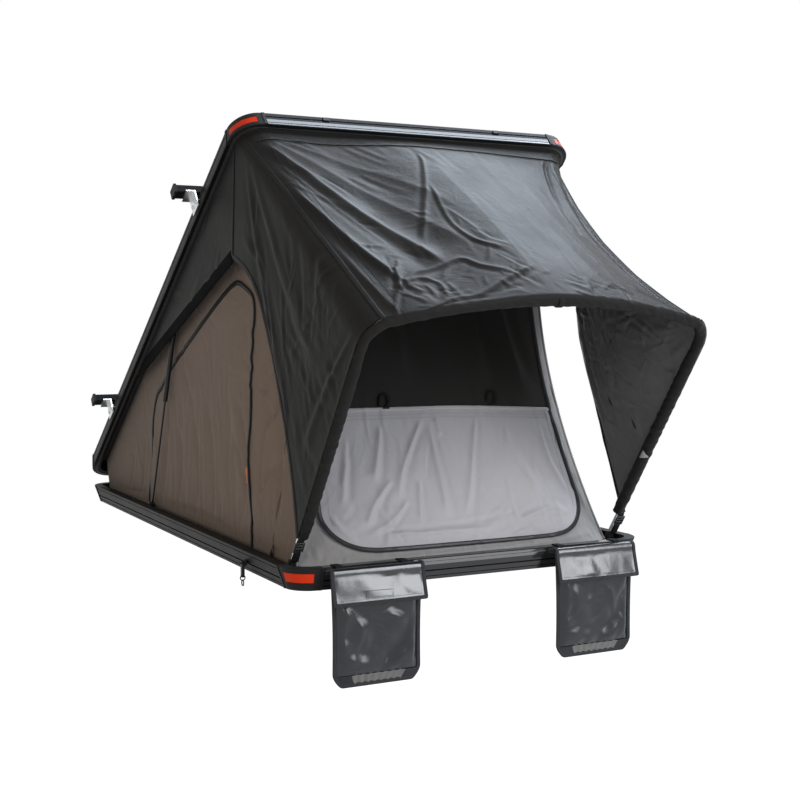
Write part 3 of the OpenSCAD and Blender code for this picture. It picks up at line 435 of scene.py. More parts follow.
def sweep(name: str, path: Array, up, section: Array, scale: Optional[Array] = None) -> Obj:
    """Sweeps a section along a path, with closed ends.

    Args:
        name: the object's name.
        path: the points that it follows.
        up: the direction of the section's second axis, one for all or one for each point.
        section: the section's points, across and up.
        scale: the section's size at each point, or at each point and round the section.

    Returns:
        The new object.
    """
    path = np.asarray(path, float)
    tangent = unit(np.gradient(path, axis=0))
    across = unit(np.cross(tangent, np.broadcast_to(np.asarray(up, float), path.shape)))
    rise = np.cross(across, tangent)
    k = np.ones(len(path)) if scale is None else np.asarray(scale, float)
    k = k[:, None] if k.ndim == 1 else k
    shape = across[:, None] * section[None, :, :1] + rise[:, None] * section[None, :, 1:]
    ring = path[:, None] + k[..., None] * shape
    n, m = ring.shape[:2]
    faces = grid_faces(n, m, False, wrap=True)
    faces += [list(range(m)), list(range((n - 1) * m, n * m))[::-1]]
    uv = np.stack(np.meshgrid(run_of(path), run_of(section), indexing="ij"), -1).reshape(-1, 2)
    obj = mesh_object(name, ring.reshape(-1, 3), faces, uv)
    outward_faces(obj)
    return obj


def mesh_points(mesh: bpy.types.Mesh) -> Array:
    """A mesh's points."""
    flat = np.zeros(len(mesh.vertices) * 3)
    mesh.vertices.foreach_get("co", flat)
    return flat.reshape(-1, 3)


def outward_faces(obj: Obj) -> None:
    """Turns a closed mesh's faces outwards."""
    mesh = obj.data
    mesh.calc_loop_triangles()
    tri = np.zeros(len(mesh.loop_triangles) * 3, np.int32)
    mesh.loop_triangles.foreach_get("vertices", tri)
    p = mesh_points(mesh)[tri.reshape(-1, 3)]
    if np.einsum("ij,ij->i", p[:, 0], np.cross(p[:, 1], p[:, 2])).sum() < 0:
        mesh.flip_normals()


def block(name: str, centre: Sequence, axes: Sequence, size: Sequence, round_by: float = 0.0015) -> Obj:
    """A box with rounded edges.

    Args:
        name: the object's name.
        centre: its middle.
        axes: its three directions.
        size: its three full sizes.
        round_by: how far its edges are rounded.

    Returns:
        The new object.
    """
    c, a = np.asarray(centre, float), unit(np.asarray(axes, float))
    signs = [(x, y, z) for z in (-1, 1) for x, y in ((-1, -1), (1, -1), (1, 1), (-1, 1))]
    corners = [c + sum(a[k] * size[k] / 2 * s[k] for k in range(3)) for s in signs]
    faces = [[0, 3, 2, 1], [4, 5, 6, 7], [0, 1, 5, 4], [1, 2, 6, 5], [2, 3, 7, 6], [3, 0, 4, 7]]
    obj = mesh_object(name, np.array(corners), faces)
    outward_faces(obj)
    edge = obj.modifiers.new("round", "BEVEL")
    edge.width, edge.segments, edge.limit_method = min(round_by, 0.45 * min(size)), 3, "NONE"
    return obj


def settle(obj: Obj) -> Obj:
    """Turns an object's modifiers into plain mesh."""
    graph = bpy.context.evaluated_depsgraph_get()
    mesh = bpy.data.meshes.new_from_object(obj.evaluated_get(graph))
    old = obj.data
    obj.modifiers.clear()
    obj.data = mesh
    bpy.data.meshes.remove(old)
    return obj


def joined(name: str, parts: Sequence[Obj]) -> Obj:
    """Joins settled objects into one mesh.

    Args:
        name: the new object's name.
        parts: the objects, which are used up.

    Returns:
        The joined object.
    """
    points, faces, uvs, start = [], [], [], 0
    for part in parts:
        settle(part)
        mesh = part.data
        points.append(mesh_points(mesh))
        faces += [[v + start for v in f.vertices] for f in mesh.polygons]
        place = np.zeros((len(mesh.vertices), 2))
        if mesh.uv_layers:
            for loop, spot in zip(mesh.loops, mesh.uv_layers[0].data):
                place[loop.vertex_index] = spot.uv
        uvs.append(place)
        start += len(mesh.vertices)
        bpy.data.objects.remove(part)
    return mesh_object(name, np.vstack(points), faces, np.vstack(uvs))


@dataclass(frozen=True)
class Bead:
    """One kind of bead: its distance from the next, its length, width and height, and its finish."""

    spacing: float
    size: tuple
    finish: str


RIDGE_STITCH = Bead(0.008, (0.005, 0.0012, 0.0009), "stitch")
HEM_STITCH = Bead(0.007, (0.0045, 0.0012, 0.0009), "stitch")
DOOR_STITCH = Bead(0.007, (0.0045, 0.0011, 0.0009), "stitch_pale")
FLAP_STITCH = Bead(0.006, (0.004, 0.001, 0.0008), "stitch")
DOOR_TEETH = Bead(0.0034, (0.0018, 0.0055, 0.0016), "zip_teeth")
SIDE_TEETH = Bead(0.0036, (0.0018, 0.006, 0.0014), "zip_teeth")


class BeadRow:
    """A Geometry Nodes tree that repeats one small box along a line: zip teeth, stitches and the like."""

    def __init__(self) -> None:
        """Builds the tree once, with named inputs for its sizes."""
        tree = bpy.data.node_groups.new("bead_row", "GeometryNodeTree")
        self.tree, self.keys = tree, {}
        face = tree.interface
        face.new_socket("Geometry", in_out="INPUT", socket_type="NodeSocketGeometry")
        for name, kind in (("Spacing", "Float"), ("Size", "Vector"), ("Face", "Vector"), ("Finish", "Material")):
            item = face.new_socket(name, in_out="INPUT", socket_type=f"NodeSocket{kind}")
            self.keys[name] = item.identifier
        face.new_socket("Geometry", in_out="OUTPUT", socket_type="NodeSocketGeometry")
        add = tree.nodes.new
        start, end = add("NodeGroupInput"), add("NodeGroupOutput")
        curve, even_out = add("GeometryNodeMeshToCurve"), add("GeometryNodeResampleCurve")
        even_out.mode = "LENGTH"
        tangent, bead = add("GeometryNodeInputTangent"), add("GeometryNodeMeshCube")
        aim, turn = add("FunctionNodeAlignRotationToVector"), add("FunctionNodeAlignRotationToVector")
        aim.axis, turn.axis, turn.pivot_axis = "X", "Z", "X"
        put, real, paint = (add("GeometryNodeInstanceOnPoints"), add("GeometryNodeRealizeInstances"),
                            add("GeometryNodeSetMaterial"))
        for one, output, other, into in (
            (start, "Geometry", curve, "Mesh"), (start, "Spacing", even_out, "Length"),
            (start, "Size", bead, "Size"), (start, "Face", turn, "Vector"), (start, "Finish", paint, "Material"),
            (curve, "Curve", even_out, "Curve"), (tangent, "Tangent", aim, "Vector"),
            (aim, "Rotation", turn, "Rotation"), (even_out, "Curve", put, "Points"),
            (bead, "Mesh", put, "Instance"), (turn, "Rotation", put, "Rotation"),
            (put, "Instances", real, "Geometry"), (real, "Geometry", paint, "Geometry"),
            (paint, "Geometry", end, "Geometry"),
        ):
            tree.links.new(one.outputs[output], other.inputs[into])

    def run(self, name: str, lines: Sequence[Array], bead: Bead, face: Sequence, finish: Mat) -> Obj:
        """Lays beads along lines and turns them into plain mesh.

        Args:
            name: the object's name.
            lines: the lines, each a row of points.
            bead: the kind of bead.
            face: the direction that the beads' tops look.
            finish: the beads' material.

        Returns:
            The object, with no modifier left on it.
        """
        points = np.vstack(lines)
        edges, start = [], 0
        for line in lines:
            edges += [(start + i, start + i + 1) for i in range(len(line) - 1)]
            start += len(line)
        mesh = bpy.data.meshes.new(name)
        mesh.from_pydata([tuple(p) for p in points.tolist()], edges, [])
        obj = bpy.data.objects.new(name, mesh)
        bpy.context.scene.collection.objects.link(obj)
        step = obj.modifiers.new("row", "NODES")
        step.node_group = self.tree
        values = {"Spacing": bead.spacing, "Size": bead.size, "Face": tuple(float(s) for s in face),
                  "Finish": finish}
        for key, value in values.items():
            step[self.keys[key]] = value
        return settle(obj)


class Graph:
    """A material's or a group's nodes, with short ways to add and join them."""

    def __init__(self, tree: Tree) -> None:
        """Keeps the tree that the nodes go into."""
        self.tree = tree

    def add(self, kind: str, inputs: Optional[dict] = None, **settings):
        """Adds a node.

        Args:
            kind: the node's type.
            inputs: values or sockets for its inputs, by name or number.
            settings: its own properties.

        Returns:
            The new node.
        """
        node = self.tree.nodes.new(kind)
        for key, value in settings.items():
            setattr(node, key, value)
        self.feed(node, inputs or {})
        return node

    def math(self, operation: str, a, b=0.0, clamp: bool = False) -> Socket:
        """Adds a Math node and gives its output."""
        node = self.add("ShaderNodeMath", {0: a, 1: b}, operation=operation)
        node.use_clamp = clamp
        return node.outputs[0]

    def tint(self, fac, a, b) -> Socket:
        """Mixes two colours by a factor and gives the result."""
        node = self.add("ShaderNodeMix", {0: fac, 6: a, 7: b}, data_type="RGBA")
        return node.outputs[2]

    def ramp(self, value, low, high) -> Socket:
        """Maps low to 0 and high to 1, held at both ends."""
        return self.add("ShaderNodeMapRange", {0: value, 1: low, 2: high}).outputs[0]

    def group(self, tree: Tree, **values: float):
        """Places a shared effect with its own values and gives its outputs."""
        return self.add("ShaderNodeGroup", values, node_tree=tree).outputs

    def bump(self, strength: float, distance: float, height, normal=None) -> Socket:
        """Adds a Bump node, over another normal where one is given, and gives its output."""
        inputs = {"Strength": strength, "Distance": distance, "Height": height}
        if normal is not None:
            inputs["Normal"] = normal
        return self.add("ShaderNodeBump", inputs).outputs[0]

    def feed(self, node: Node, inputs: dict) -> None:
        """Joins sockets to a node's inputs, or sets plain values on them."""
        for key, value in inputs.items():
            if isinstance(value, Socket):
                self.tree.links.new(value, node.inputs[key])
            else:
                node.inputs[key].default_value = value


class Effects:
    """Shader node groups that several finishes share."""

    def __init__(self) -> None:
        """Builds the groups once."""
        self.weave = self._group("weave", {"Threads": 900.0}, self._weave)
        self.crinkle = self._group("crinkle", {"Scale": 9.0}, self._crinkle)
        self.mottle = self._group("mottle", {"Scale": 6.0, "Low": 0.35, "High": 0.7}, self._mottle)
        self.grain = self._group("grain", {"Scale": 900.0, "Streak": 1.0}, self._grain)

    def _group(self, name: str, inputs: dict, fill) -> Tree:
        """Makes one group.

        Args:
            name: the group's name.
            inputs: its inputs' names and values.
            fill: the method that adds its nodes and returns the outputs.

        Returns:
            The group's tree.
        """
        tree = bpy.data.node_groups.new(name, "ShaderNodeTree")
        for key, value in inputs.items():
            tree.interface.new_socket(key, in_out="INPUT", socket_type="NodeSocketFloat").default_value = value
        for key in ("Height", "Mask"):
            tree.interface.new_socket(key, in_out="OUTPUT", socket_type="NodeSocketFloat")
        graph = Graph(tree)
        start, end = tree.nodes.new("NodeGroupInput"), tree.nodes.new("NodeGroupOutput")
        height, mask = fill(graph, start.outputs)
        graph.feed(end, {"Height": height, "Mask": mask})
        return tree

    @staticmethod
    def _weave(g: Graph, given) -> tuple:
        """Crossing threads on the piece's UV map."""
        uv = g.add("ShaderNodeTexCoord").outputs["UV"]
        part = g.add("ShaderNodeSeparateXYZ", {0: uv}).outputs
        turn = g.math("MULTIPLY", given["Threads"], 2 * math.pi)
        a = g.math("SINE", g.math("MULTIPLY", part[0], turn))
        b = g.math("SINE", g.math("MULTIPLY", part[1], turn))
        height = g.math("MULTIPLY", a, b)
        return height, g.ramp(height, -1.0, 1.0)

    @staticmethod
    def _crinkle(g: Graph, given) -> tuple:
        """Fine creases: warped cell edges of two sizes over a soft swell."""
        at = g.add("ShaderNodeTexCoord").outputs["Object"]
        warp = g.add("ShaderNodeTexNoise", {"Vector": at, "Scale": 7.0, "Detail": 3.0}).outputs["Color"]
        moved = g.add("ShaderNodeMix", {0: 0.22, 4: at, 5: warp}, data_type="VECTOR").outputs[1]
        cells = []
        for size in (1.0, 2.3):
            scale = g.math("MULTIPLY", given["Scale"], size)
            cell = g.add("ShaderNodeTexVoronoi", {"Vector": moved, "Scale": scale}, feature="DISTANCE_TO_EDGE")
            cells.append(g.ramp(cell.outputs["Distance"], 0.0, 0.16))
        soft = g.add("ShaderNodeTexNoise", {"Vector": at, "Scale": given["Scale"], "Detail": 4.0}).outputs[0]
        small = g.math("ADD", g.math("MULTIPLY", cells[1], 0.5), 0.5)
        edge = g.math("SUBTRACT", 1.0, g.math("MULTIPLY", cells[0], small))
        return g.math("ADD", g.math("MULTIPLY", edge, 0.6), soft), edge

    @staticmethod
    def _mottle(g: Graph, given) -> tuple:
        """Broad uneven shade, as from handling and dust."""
        at = g.add("ShaderNodeTexCoord").outputs["Object"]
        cloud = g.add("ShaderNodeTexNoise",
                      {"Vector": at, "Scale": given["Scale"], "Detail": 6.0, "Roughness": 0.62})
        return cloud.outputs[0], g.ramp(cloud.outputs[0], given["Low"], given["High"])

    @staticmethod
    def _grain(g: Graph, given) -> tuple:
        """A coat's fine texture, drawn out along the rails where Streak is high."""
        at = g.add("ShaderNodeTexCoord").outputs["Object"]
        part = g.add("ShaderNodeSeparateXYZ", {0: at}).outputs
        long_y = g.math("DIVIDE", part[1], given["Streak"])
        long_x = g.math("DIVIDE", part[0], given["Streak"])
        drawn = g.add("ShaderNodeCombineXYZ", {0: long_x, 1: long_y, 2: part[2]}).outputs[0]
        fine = g.add("ShaderNodeTexNoise", {"Vector": drawn, "Scale": given["Scale"], "Detail": 3.0}).outputs[0]
        wide = g.add("ShaderNodeTexNoise",
                     {"Vector": at, "Scale": 14.0, "Detail": 8.0, "Roughness": 0.7}).outputs[0]
        return fine, g.ramp(wide, 0.52, 0.74)


@dataclass(frozen=True)
class Finish:
    """What every finish has: a name, two colours that it varies between, and a roughness."""

    name: str
    colour: tuple
    other: tuple
    roughness: float = 0.7

    def build(self, effects: Effects) -> Mat:
        """Builds the material.

        Args:
            effects: the shared node groups.

        Returns:
            The material.
        """
        mat = bpy.data.materials.new(self.name)
        mat.use_nodes = True
        self.wire(Graph(mat.node_tree), mat.node_tree.nodes["Principled BSDF"], effects)
        return mat

    def wire(self, g: Graph, shader: Node, effects: Effects) -> None:
        """Adds the finish's nodes and joins them to its shader.

        Args:
            g: the material's nodes.
            shader: its shader.
            effects: the shared node groups.
        """
        raise NotImplementedError

    @staticmethod
    def rgba(colour: tuple, dim: float = 1.0) -> tuple:
        """A colour, dimmed by a share, with full alpha."""
        return (*(dim * c for c in colour), 1.0)


@dataclass(frozen=True)
class ClothFinish(Finish):
    """Woven cloth with its weave, small creases and uneven shade."""

    threads: float = 900.0
    crease: float = 0.25
    crease_scale: float = 9.0
    sheen: float = 0.15
    specular: float = 0.3
    cloud: float = 5.0
    weave_depth: float = 0.05

    def wire(self, g: Graph, shader: Node, effects: Effects) -> None:
        """Adds the weave, the creases and the shade."""
        weave = g.group(effects.weave, Threads=self.threads)
        crinkle = g.group(effects.crinkle, Scale=self.crease_scale)
        shade = g.group(effects.mottle, Scale=self.cloud)["Mask"]
        base = g.tint(shade, self.rgba(self.colour), self.rgba(self.other))
        between = g.math("MULTIPLY", g.math("SUBTRACT", 1.0, weave["Mask"]), 0.35)
        fine = g.bump(self.weave_depth * 4, 0.0004, weave["Height"])
        g.feed(shader, {
            "Base Color": g.tint(between, base, self.rgba(self.colour, 0.82)),
            "Roughness": g.math("ADD", g.math("MULTIPLY", shade, 0.12), self.roughness - 0.06),
            "Normal": g.bump(self.crease, 0.02, crinkle["Height"], fine),
            "Sheen Weight": self.sheen,
            "Sheen Roughness": 0.45,
            "Specular IOR Level": self.specular,
        })


@dataclass(frozen=True)
class CoatFinish(Finish):
    """Metal, paint or moulded plastic with a fine grain and light scuffs."""

    metallic: float = 0.0
    grain: float = 900.0
    streak: float = 1.0
    depth: float = 0.06
    scuff: float = 0.25
    coat: float = 0.0
    specular: float = 0.5

    def wire(self, g: Graph, shader: Node, effects: Effects) -> None:
        """Adds the grain and the scuffs."""
        grain = g.group(effects.grain, Scale=self.grain, Streak=self.streak)
        shade = g.group(effects.mottle, Scale=9.0)["Mask"]
        wear = g.math("MULTIPLY", grain["Mask"], self.scuff)
        worn = g.math("ADD", wear, g.math("MULTIPLY", shade, 0.3), True)
        g.feed(shader, {
            "Base Color": g.tint(worn, self.rgba(self.colour), self.rgba(self.other)),
            "Roughness": g.math("ADD", g.math("MULTIPLY", worn, 0.18), self.roughness, True),
            "Normal": g.bump(self.depth, 0.0006, grain["Height"]),
            "Metallic": self.metallic,
            "Coat Weight": self.coat,
            "Coat Roughness": 0.12,
            "Specular IOR Level": self.specular,
        })


@dataclass(frozen=True)
class RailFinish(CoatFinish):
    """A rail with a clear coat on one band of its face, duller above and below: the band is a painted highlight."""

    up: tuple = (0.0, 0.0, 1.0)
    low: float = 0.0
    high: float = 0.1
    coat_ior: float = 1.5
    blur: float = 0.0006

    def wire(self, g: Graph, shader: Node, effects: Effects) -> None:
        """Adds the plain coat's nodes and the band of painted highlight."""
        super().wire(g, shader, effects)
        at = g.add("ShaderNodeTexCoord").outputs["Object"]
        height = g.add("ShaderNodeVectorMath", {0: at, 1: self.up}, operation="DOT_PRODUCT").outputs["Value"]
        above, over = (g.ramp(height, edge - self.blur, edge + self.blur) for edge in (self.low, self.high))
        # The coat on this band paints a bright reflecting stripe along the rail's face.
        band = g.math("SUBTRACT", above, over, True)
        g.feed(shader, {"Coat Weight": g.math("MULTIPLY", band, self.coat), "Coat IOR": self.coat_ior})


@dataclass(frozen=True)
class MeshFinish(Finish):
    """Open netting: a grid of threads with dark gaps."""

    pitch: float = 260.0

    def wire(self, g: Graph, shader: Node, effects: Effects) -> None:
        """Adds the threads and the uneven shade."""
        weave = g.group(effects.weave, Threads=self.pitch)
        shade = g.group(effects.mottle, Scale=4.0)["Mask"]
        thread = g.math("ABSOLUTE", weave["Height"])
        base = g.tint(thread, self.rgba(self.other), self.rgba(self.colour))
        g.feed(shader, {
            "Base Color": g.tint(g.math("MULTIPLY", shade, 0.5), base, self.rgba(self.colour, 0.6)),
            "Normal": g.bump(0.3, 0.0008, thread),
            "Roughness": self.roughness,
            "Specular IOR Level": 0.2,
        })


# Cloth: name, two colours, roughness, threads, crease depth and scale, sheen, specular, cloud scale, weave depth.
# Coat and rail: name, two colours, roughness, metallic, grain scale, streak, bump depth, scuff, coat, specular;
# a rail also has the direction of its height and the lower and upper edge of its band, a painted highlight.
# Mesh: name, two colours, roughness, threads.
FINISHES = (
    ClothFinish("fly_cloth", (0.0165, 0.0158, 0.0152), (0.021, 0.0202, 0.0195), 0.46, 900.0, 0.05, 14.0, 0.0, 0.04,
                4.0, 0.03),
    # The inner cloth is the black fly cloth made about five times lighter: painted light that stands for light
    # through the thin cloth.
    ClothFinish("fly_inner", (0.078, 0.076, 0.079), (0.105, 0.103, 0.107), 0.45, 900.0, 0.08, 16.0, 0.1, 0.2, 7.0,
                0.03),
    # The hem finish is near black with almost no gloss: painted shadow under the gussets' lower edges.
    ClothFinish("hem_black", (0.004, 0.004, 0.004), (0.006, 0.006, 0.006), 0.8, 600.0, 0.04, 20.0, 0.0, 0.02, 8.0,
                0.05),
    ClothFinish("wall_taupe", (0.20, 0.152, 0.12), (0.232, 0.18, 0.144), 0.85, 700.0, 0.16, 6.0, 0.1, 0.1, 3.0),
    ClothFinish("wall_grey", (0.275, 0.27, 0.27), (0.315, 0.31, 0.31), 0.85, 700.0, 0.16, 6.0, 0.1, 0.1, 3.0),
    ClothFinish("door_pale", (0.40, 0.39, 0.41), (0.45, 0.44, 0.46), 0.85, 700.0, 0.14, 5.0, 0.1, 0.1, 3.0),
    MeshFinish("door_net", (0.03, 0.027, 0.025), (0.015, 0.014, 0.013), 0.8, 300.0),
    ClothFinish("webbing", (0.009, 0.009, 0.0095), (0.016, 0.016, 0.0165), 0.75, 500.0, 0.04, 20.0, 0.0, 0.15, 8.0,
                0.12),
    ClothFinish("binding_grey", (0.022, 0.022, 0.025), (0.036, 0.036, 0.04), 0.65, 600.0, 0.05, 20.0, 0.0, 0.2, 8.0,
                0.1),
    ClothFinish("tab_orange", (0.62, 0.17, 0.05), (0.7, 0.22, 0.08), 0.7, 600.0, 0.04, 20.0, 0.1, 0.3, 8.0, 0.1),
    ClothFinish("bag_sheet", (0.011, 0.0125, 0.016), (0.016, 0.018, 0.022), 0.24, 800.0, 0.03, 7.0, 0.0, 0.46, 7.0,
                0.01),
    # The flap's sheet has the pouch's colours but stronger reflection: a painted sheen that brightens the flap.
    ClothFinish("flap_sheet", (0.011, 0.0125, 0.016), (0.016, 0.018, 0.022), 0.2, 800.0, 0.03, 7.0, 0.0, 0.75, 7.0,
                0.01),
    MeshFinish("bag_net", (0.28, 0.275, 0.265), (0.06, 0.06, 0.06), 0.7, 170.0),
    ClothFinish("mattress_cover", (0.36, 0.36, 0.38), (0.42, 0.42, 0.44), 0.85, 500.0, 0.1, 6.0, 0.25, 0.2, 4.0,
                0.1),
    ClothFinish("lining_felt", (0.40, 0.395, 0.385), (0.46, 0.455, 0.445), 0.95, 420.0, 0.08, 12.0, 0.3, 0.15, 5.0,
                0.1),
    ClothFinish("stitch", (0.017, 0.017, 0.0175), (0.024, 0.024, 0.025), 0.6, 300.0, 0.0, 20.0, 0.0, 0.1, 8.0, 0.0),
    ClothFinish("stitch_pale", (0.30, 0.29, 0.27), (0.36, 0.35, 0.33), 0.7, 300.0, 0.0, 20.0, 0.2, 0.3, 8.0, 0.0),
    # The front, rear and lid rails carry a band of coat that paints a bright highlight along their faces.
    RailFinish("rail_front", (0.011, 0.011, 0.012), (0.02, 0.02, 0.021), 0.13, 0.0, 700.0, 40.0, 0.015, 0.15, 1.0,
               0.45, low=0.0745, high=0.0955, coat_ior=2.1),
    RailFinish("rail_lid", (0.011, 0.011, 0.012), (0.02, 0.02, 0.021), 0.13, 0.0, 700.0, 40.0, 0.015, 0.15, 0.45,
               0.02, (0.0, math.sin(PLAN.open_angle), math.cos(PLAN.open_angle)), low=0.784, high=0.8065),
    # The side rails, crossbars and mounting rails get a darker, duller copy of the rail finish: painted shade.
    CoatFinish("rail_side", (0.0065, 0.006, 0.0055), (0.011, 0.0105, 0.01), 0.42, 0.0, 700.0, 40.0, 0.04, 0.15, 0.0,
               0.05),
    CoatFinish("cover_plastic", (0.013, 0.013, 0.014), (0.03, 0.03, 0.031), 0.5, 0.0, 1100.0, 1.0, 0.1, 0.3, 0.0,
               0.08),
    CoatFinish("reflector", (0.66, 0.035, 0.007), (0.72, 0.05, 0.012), 0.3, 0.0, 500.0, 1.0, 0.06, 0.1, 0.0, 0.08),
    CoatFinish("roof_board", (0.03, 0.03, 0.032), (0.05, 0.05, 0.052), 0.45, 0.0, 420.0, 1.0, 0.3, 0.2),
    CoatFinish("floor_board", (0.42, 0.425, 0.43), (0.5, 0.505, 0.51), 0.4, 0.6, 500.0, 25.0, 0.1, 0.2),
    CoatFinish("steel_bright", (0.60, 0.61, 0.62), (0.45, 0.455, 0.46), 0.22, 1.0, 800.0, 18.0, 0.05, 0.2),
    CoatFinish("steel_black", (0.012, 0.012, 0.013), (0.03, 0.03, 0.031), 0.32, 0.0, 900.0, 1.0, 0.06, 0.25, 0.0,
               0.25),
    CoatFinish("silver_plate", (0.66, 0.665, 0.67), (0.5, 0.505, 0.51), 0.3, 1.0, 700.0, 14.0, 0.06, 0.25),
    CoatFinish("seal_rubber", (0.012, 0.012, 0.012), (0.025, 0.025, 0.025), 0.6, 0.0, 600.0, 1.0, 0.15, 0.2),
    CoatFinish("pole_metal", (0.32, 0.325, 0.335), (0.24, 0.245, 0.25), 0.3, 1.0, 700.0, 14.0, 0.06, 0.2),
    CoatFinish("zip_teeth", (0.015, 0.015, 0.016), (0.03, 0.03, 0.031), 0.35, 0.0, 900.0, 1.0, 0.02, 0.1),
    CoatFinish("buckle_plastic", (0.012, 0.012, 0.013), (0.03, 0.03, 0.031), 0.35, 0.0, 900.0, 1.0, 0.05, 0.2),
)

CAD_FINISH = {
    # The front, rear and lid rails carry a painted highlight band; the side rails carry a copy with painted shade.
    "rail_front": "base_rail_front base_rail_rear",
    "rail_lid": "lid_rail_front lid_rail_rear",
    "rail_side": "base_rail_left base_rail_right lid_rail_left lid_rail_right crossbar_front crossbar_rear "
                 "mounting_rails",
    "cover_plastic": "base_corner_covers lid_corner_covers crossbar_end_caps fly_clips rail_clips",
    "reflector": "base_reflectors lid_reflectors",
    "roof_board": "roof_panel",
    "floor_board": "floor_panel",
    "steel_bright": "hinge_pins bracket_bolts",
    "steel_black": "hinge_base_leaves hinge_lid_leaves hoop_brackets strut_cylinder_left strut_cylinder_right "
                   "strut_base_studs strut_lid_studs strut_rod_left strut_rod_right tie_hook_left tie_hook_right "
                   "lid_slot_anchors",
    "silver_plate": "crossbar_brackets hoop_foot_bars",
    "seal_rubber": "lid_seal",
    "pole_metal": "hoop_pole",
}


class Wardrobe:
    """All finishes of the tent, built once and handed out by name."""

    def __init__(self) -> None:
        """Builds the shared effects, the finishes and the bead tree."""
        self.effects = Effects()
        self.made = {finish.name: finish.build(self.effects) for finish in FINISHES}
        self.beads = BeadRow()

    def __getitem__(self, name: str) -> Mat:
        """The finish of that name."""
        return self.made[name]

    def dress_cad(self) -> None:
        """Gives every CAD node its finish."""
        for finish, names in CAD_FINISH.items():
            for name in names.split():
                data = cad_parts[name].data
                data.materials.clear()
                data.materials.append(self[finish])

    def put(self, obj: Obj, finish: str, body: str, slot: str, replaces: Sequence[str] = ()) -> Obj:
        """Finishes a piece and sets what it rides on.

        Args:
            obj: the piece.
            finish: its finish, or an empty name where it has one.
            body: the CAD body that it moves with.
            slot: not used.
            replaces: the CAD nodes that it stands for.

        Returns:
            The piece.
        """
        if finish:
            obj.data.materials.clear()
            obj.data.materials.append(self[finish])
        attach(obj, body)
        if replaces:
            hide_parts(*replaces)
        LOG.info("%s rides on %s", obj.name, body)
        return obj

    def row(self, name: str, lines: Sequence[Array], bead: Bead, face: Sequence, body: str, slot: str) -> Obj:
        """Lays a row of beads, such as stitches or zip teeth, and sets what it rides on.

        Args:
            name: the piece's name.
            lines: the lines, each a row of points.
            bead: the kind of bead.
            face: the direction that the beads' tops look.
            body: the CAD body that they move with.
            slot: not used.

        Returns:
            The piece.
        """
        return self.put(self.beads.run(name, lines, bead, face, self[bead.finish]), "", body, slot)


@dataclass(frozen=True)
class Crease:
    """One fold pressed into cloth, as a line on its flat coordinates."""

    start: tuple
    end: tuple
    width: float
    height: float
    bow: float = 0.0
    tail: float = 0.25

    def press(self, a: Array, b: Array) -> Array:
        """How far the cloth stands up at each place.

        Args:
            a: the first flat coordinate.
            b: the second flat coordinate.

        Returns:
            The heights.
        """
        s, e = np.asarray(self.start, float), np.asarray(self.end, float)
        d = e - s
        length = float(np.hypot(*d))
        x, y = d / length
        t = ((a - s[0]) * x + (b - s[1]) * y) / length
        off = (a - s[0]) * -y + (b - s[1]) * x - self.bow * 4 * t * (1 - t)
        wide = self.width * (0.55 + 0.9 * np.clip(t, 0, 1))
        k = off / wide
        shape = np.exp(-k * k) - 0.45 * np.exp(-(k - 1.7) ** 2)
        return self.height * shape * ease((t + 0.02) / self.tail) * ease((1.02 - t) / self.tail)


@dataclass(frozen=True)
class Fold:
    """One long fold that follows a bent line on a sheet's flat coordinates."""

    line: tuple
    width: float
    height: float
    lean: float = 0.6
    tail: float = 0.12

    def press(self, a: Array, b: Array) -> Array:
        """How far the cloth stands up at each place.

        Args:
            a: the first flat coordinate.
            b: the second flat coordinate.

        Returns:
            The heights, with a hollow on the line's left hand where the fold leans.
        """
        path = smooth_path(self.line, 30)
        run = run_of(path)
        best, off, along = np.full(a.shape, np.inf), np.zeros_like(a), np.zeros_like(a)
        for k in range(len(path) - 1):
            x, y = path[k + 1] - path[k]
            t = np.clip(((a - path[k][0]) * x + (b - path[k][1]) * y) / (x * x + y * y), 0, 1)
            da, db = a - path[k][0] - t * x, b - path[k][1] - t * y
            far = np.hypot(da, db)
            near = far < best
            best = np.where(near, far, best)
            off = np.where(near, np.sign(x * db - y * da) * far, off)
            along = np.where(near, (run[k] + t * (run[k + 1] - run[k])) / run[-1], along)
        k = off / (self.width * (0.7 + 0.6 * along))
        shape = np.exp(-np.abs(k) ** 1.35) - self.lean * np.exp(-((k - 1.9) / 1.1) ** 2)
        return self.height * shape * ease(along / self.tail) * ease((1 - along) / self.tail)


def scatter(seed: int, count: int, area: tuple, angle: tuple, length: tuple, width: tuple,
            height: tuple) -> list:
    """Spreads small creases over a part of a sheet.

    Args:
        seed: the fixed seed.
        count: how many.
        area: the lowest and highest place of their middles, as a0, b0, a1, b1.
        angle: their middle direction and its spread, in degrees.
        length: the shortest and longest.
        width: the narrowest and widest.
        height: the lowest and highest.

    Returns:
        The creases.
    """
    pick = np.random.RandomState(seed)
    out = []
    for _ in range(count):
        a, b = pick.uniform(area[0], area[2]), pick.uniform(area[1], area[3])
        t = math.radians(pick.normal(angle[0], angle[1]))
        h = pick.uniform(*length) / 2
        d = (h * math.cos(t), h * math.sin(t))
        out.append(Crease((a - d[0], b - d[1]), (a + d[0], b + d[1]), pick.uniform(*width),
                          pick.uniform(*height) * pick.choice([-1.0, 1.0]), pick.uniform(-0.12, 0.12) * h, 0.35))
    return out


def scatter_all(*kinds: tuple) -> list:
    """Small creases of several kinds, each given as scatter takes it."""
    return [crease for kind in kinds for crease in scatter(*kind)]


def press_all(creases: Sequence, a: Array, b: Array) -> Array:
    """All creases' heights together."""
    return sum((c.press(a, b) for c in creases), np.zeros_like(a))


def cloth_area(grid: Array) -> float:
    """The area of a grid of points, in square metres."""
    d = np.cross(grid[1:, 1:] - grid[:-1, :-1], grid[1:, :-1] - grid[:-1, 1:])
    return float(np.linalg.norm(d, axis=-1).sum() / 2)


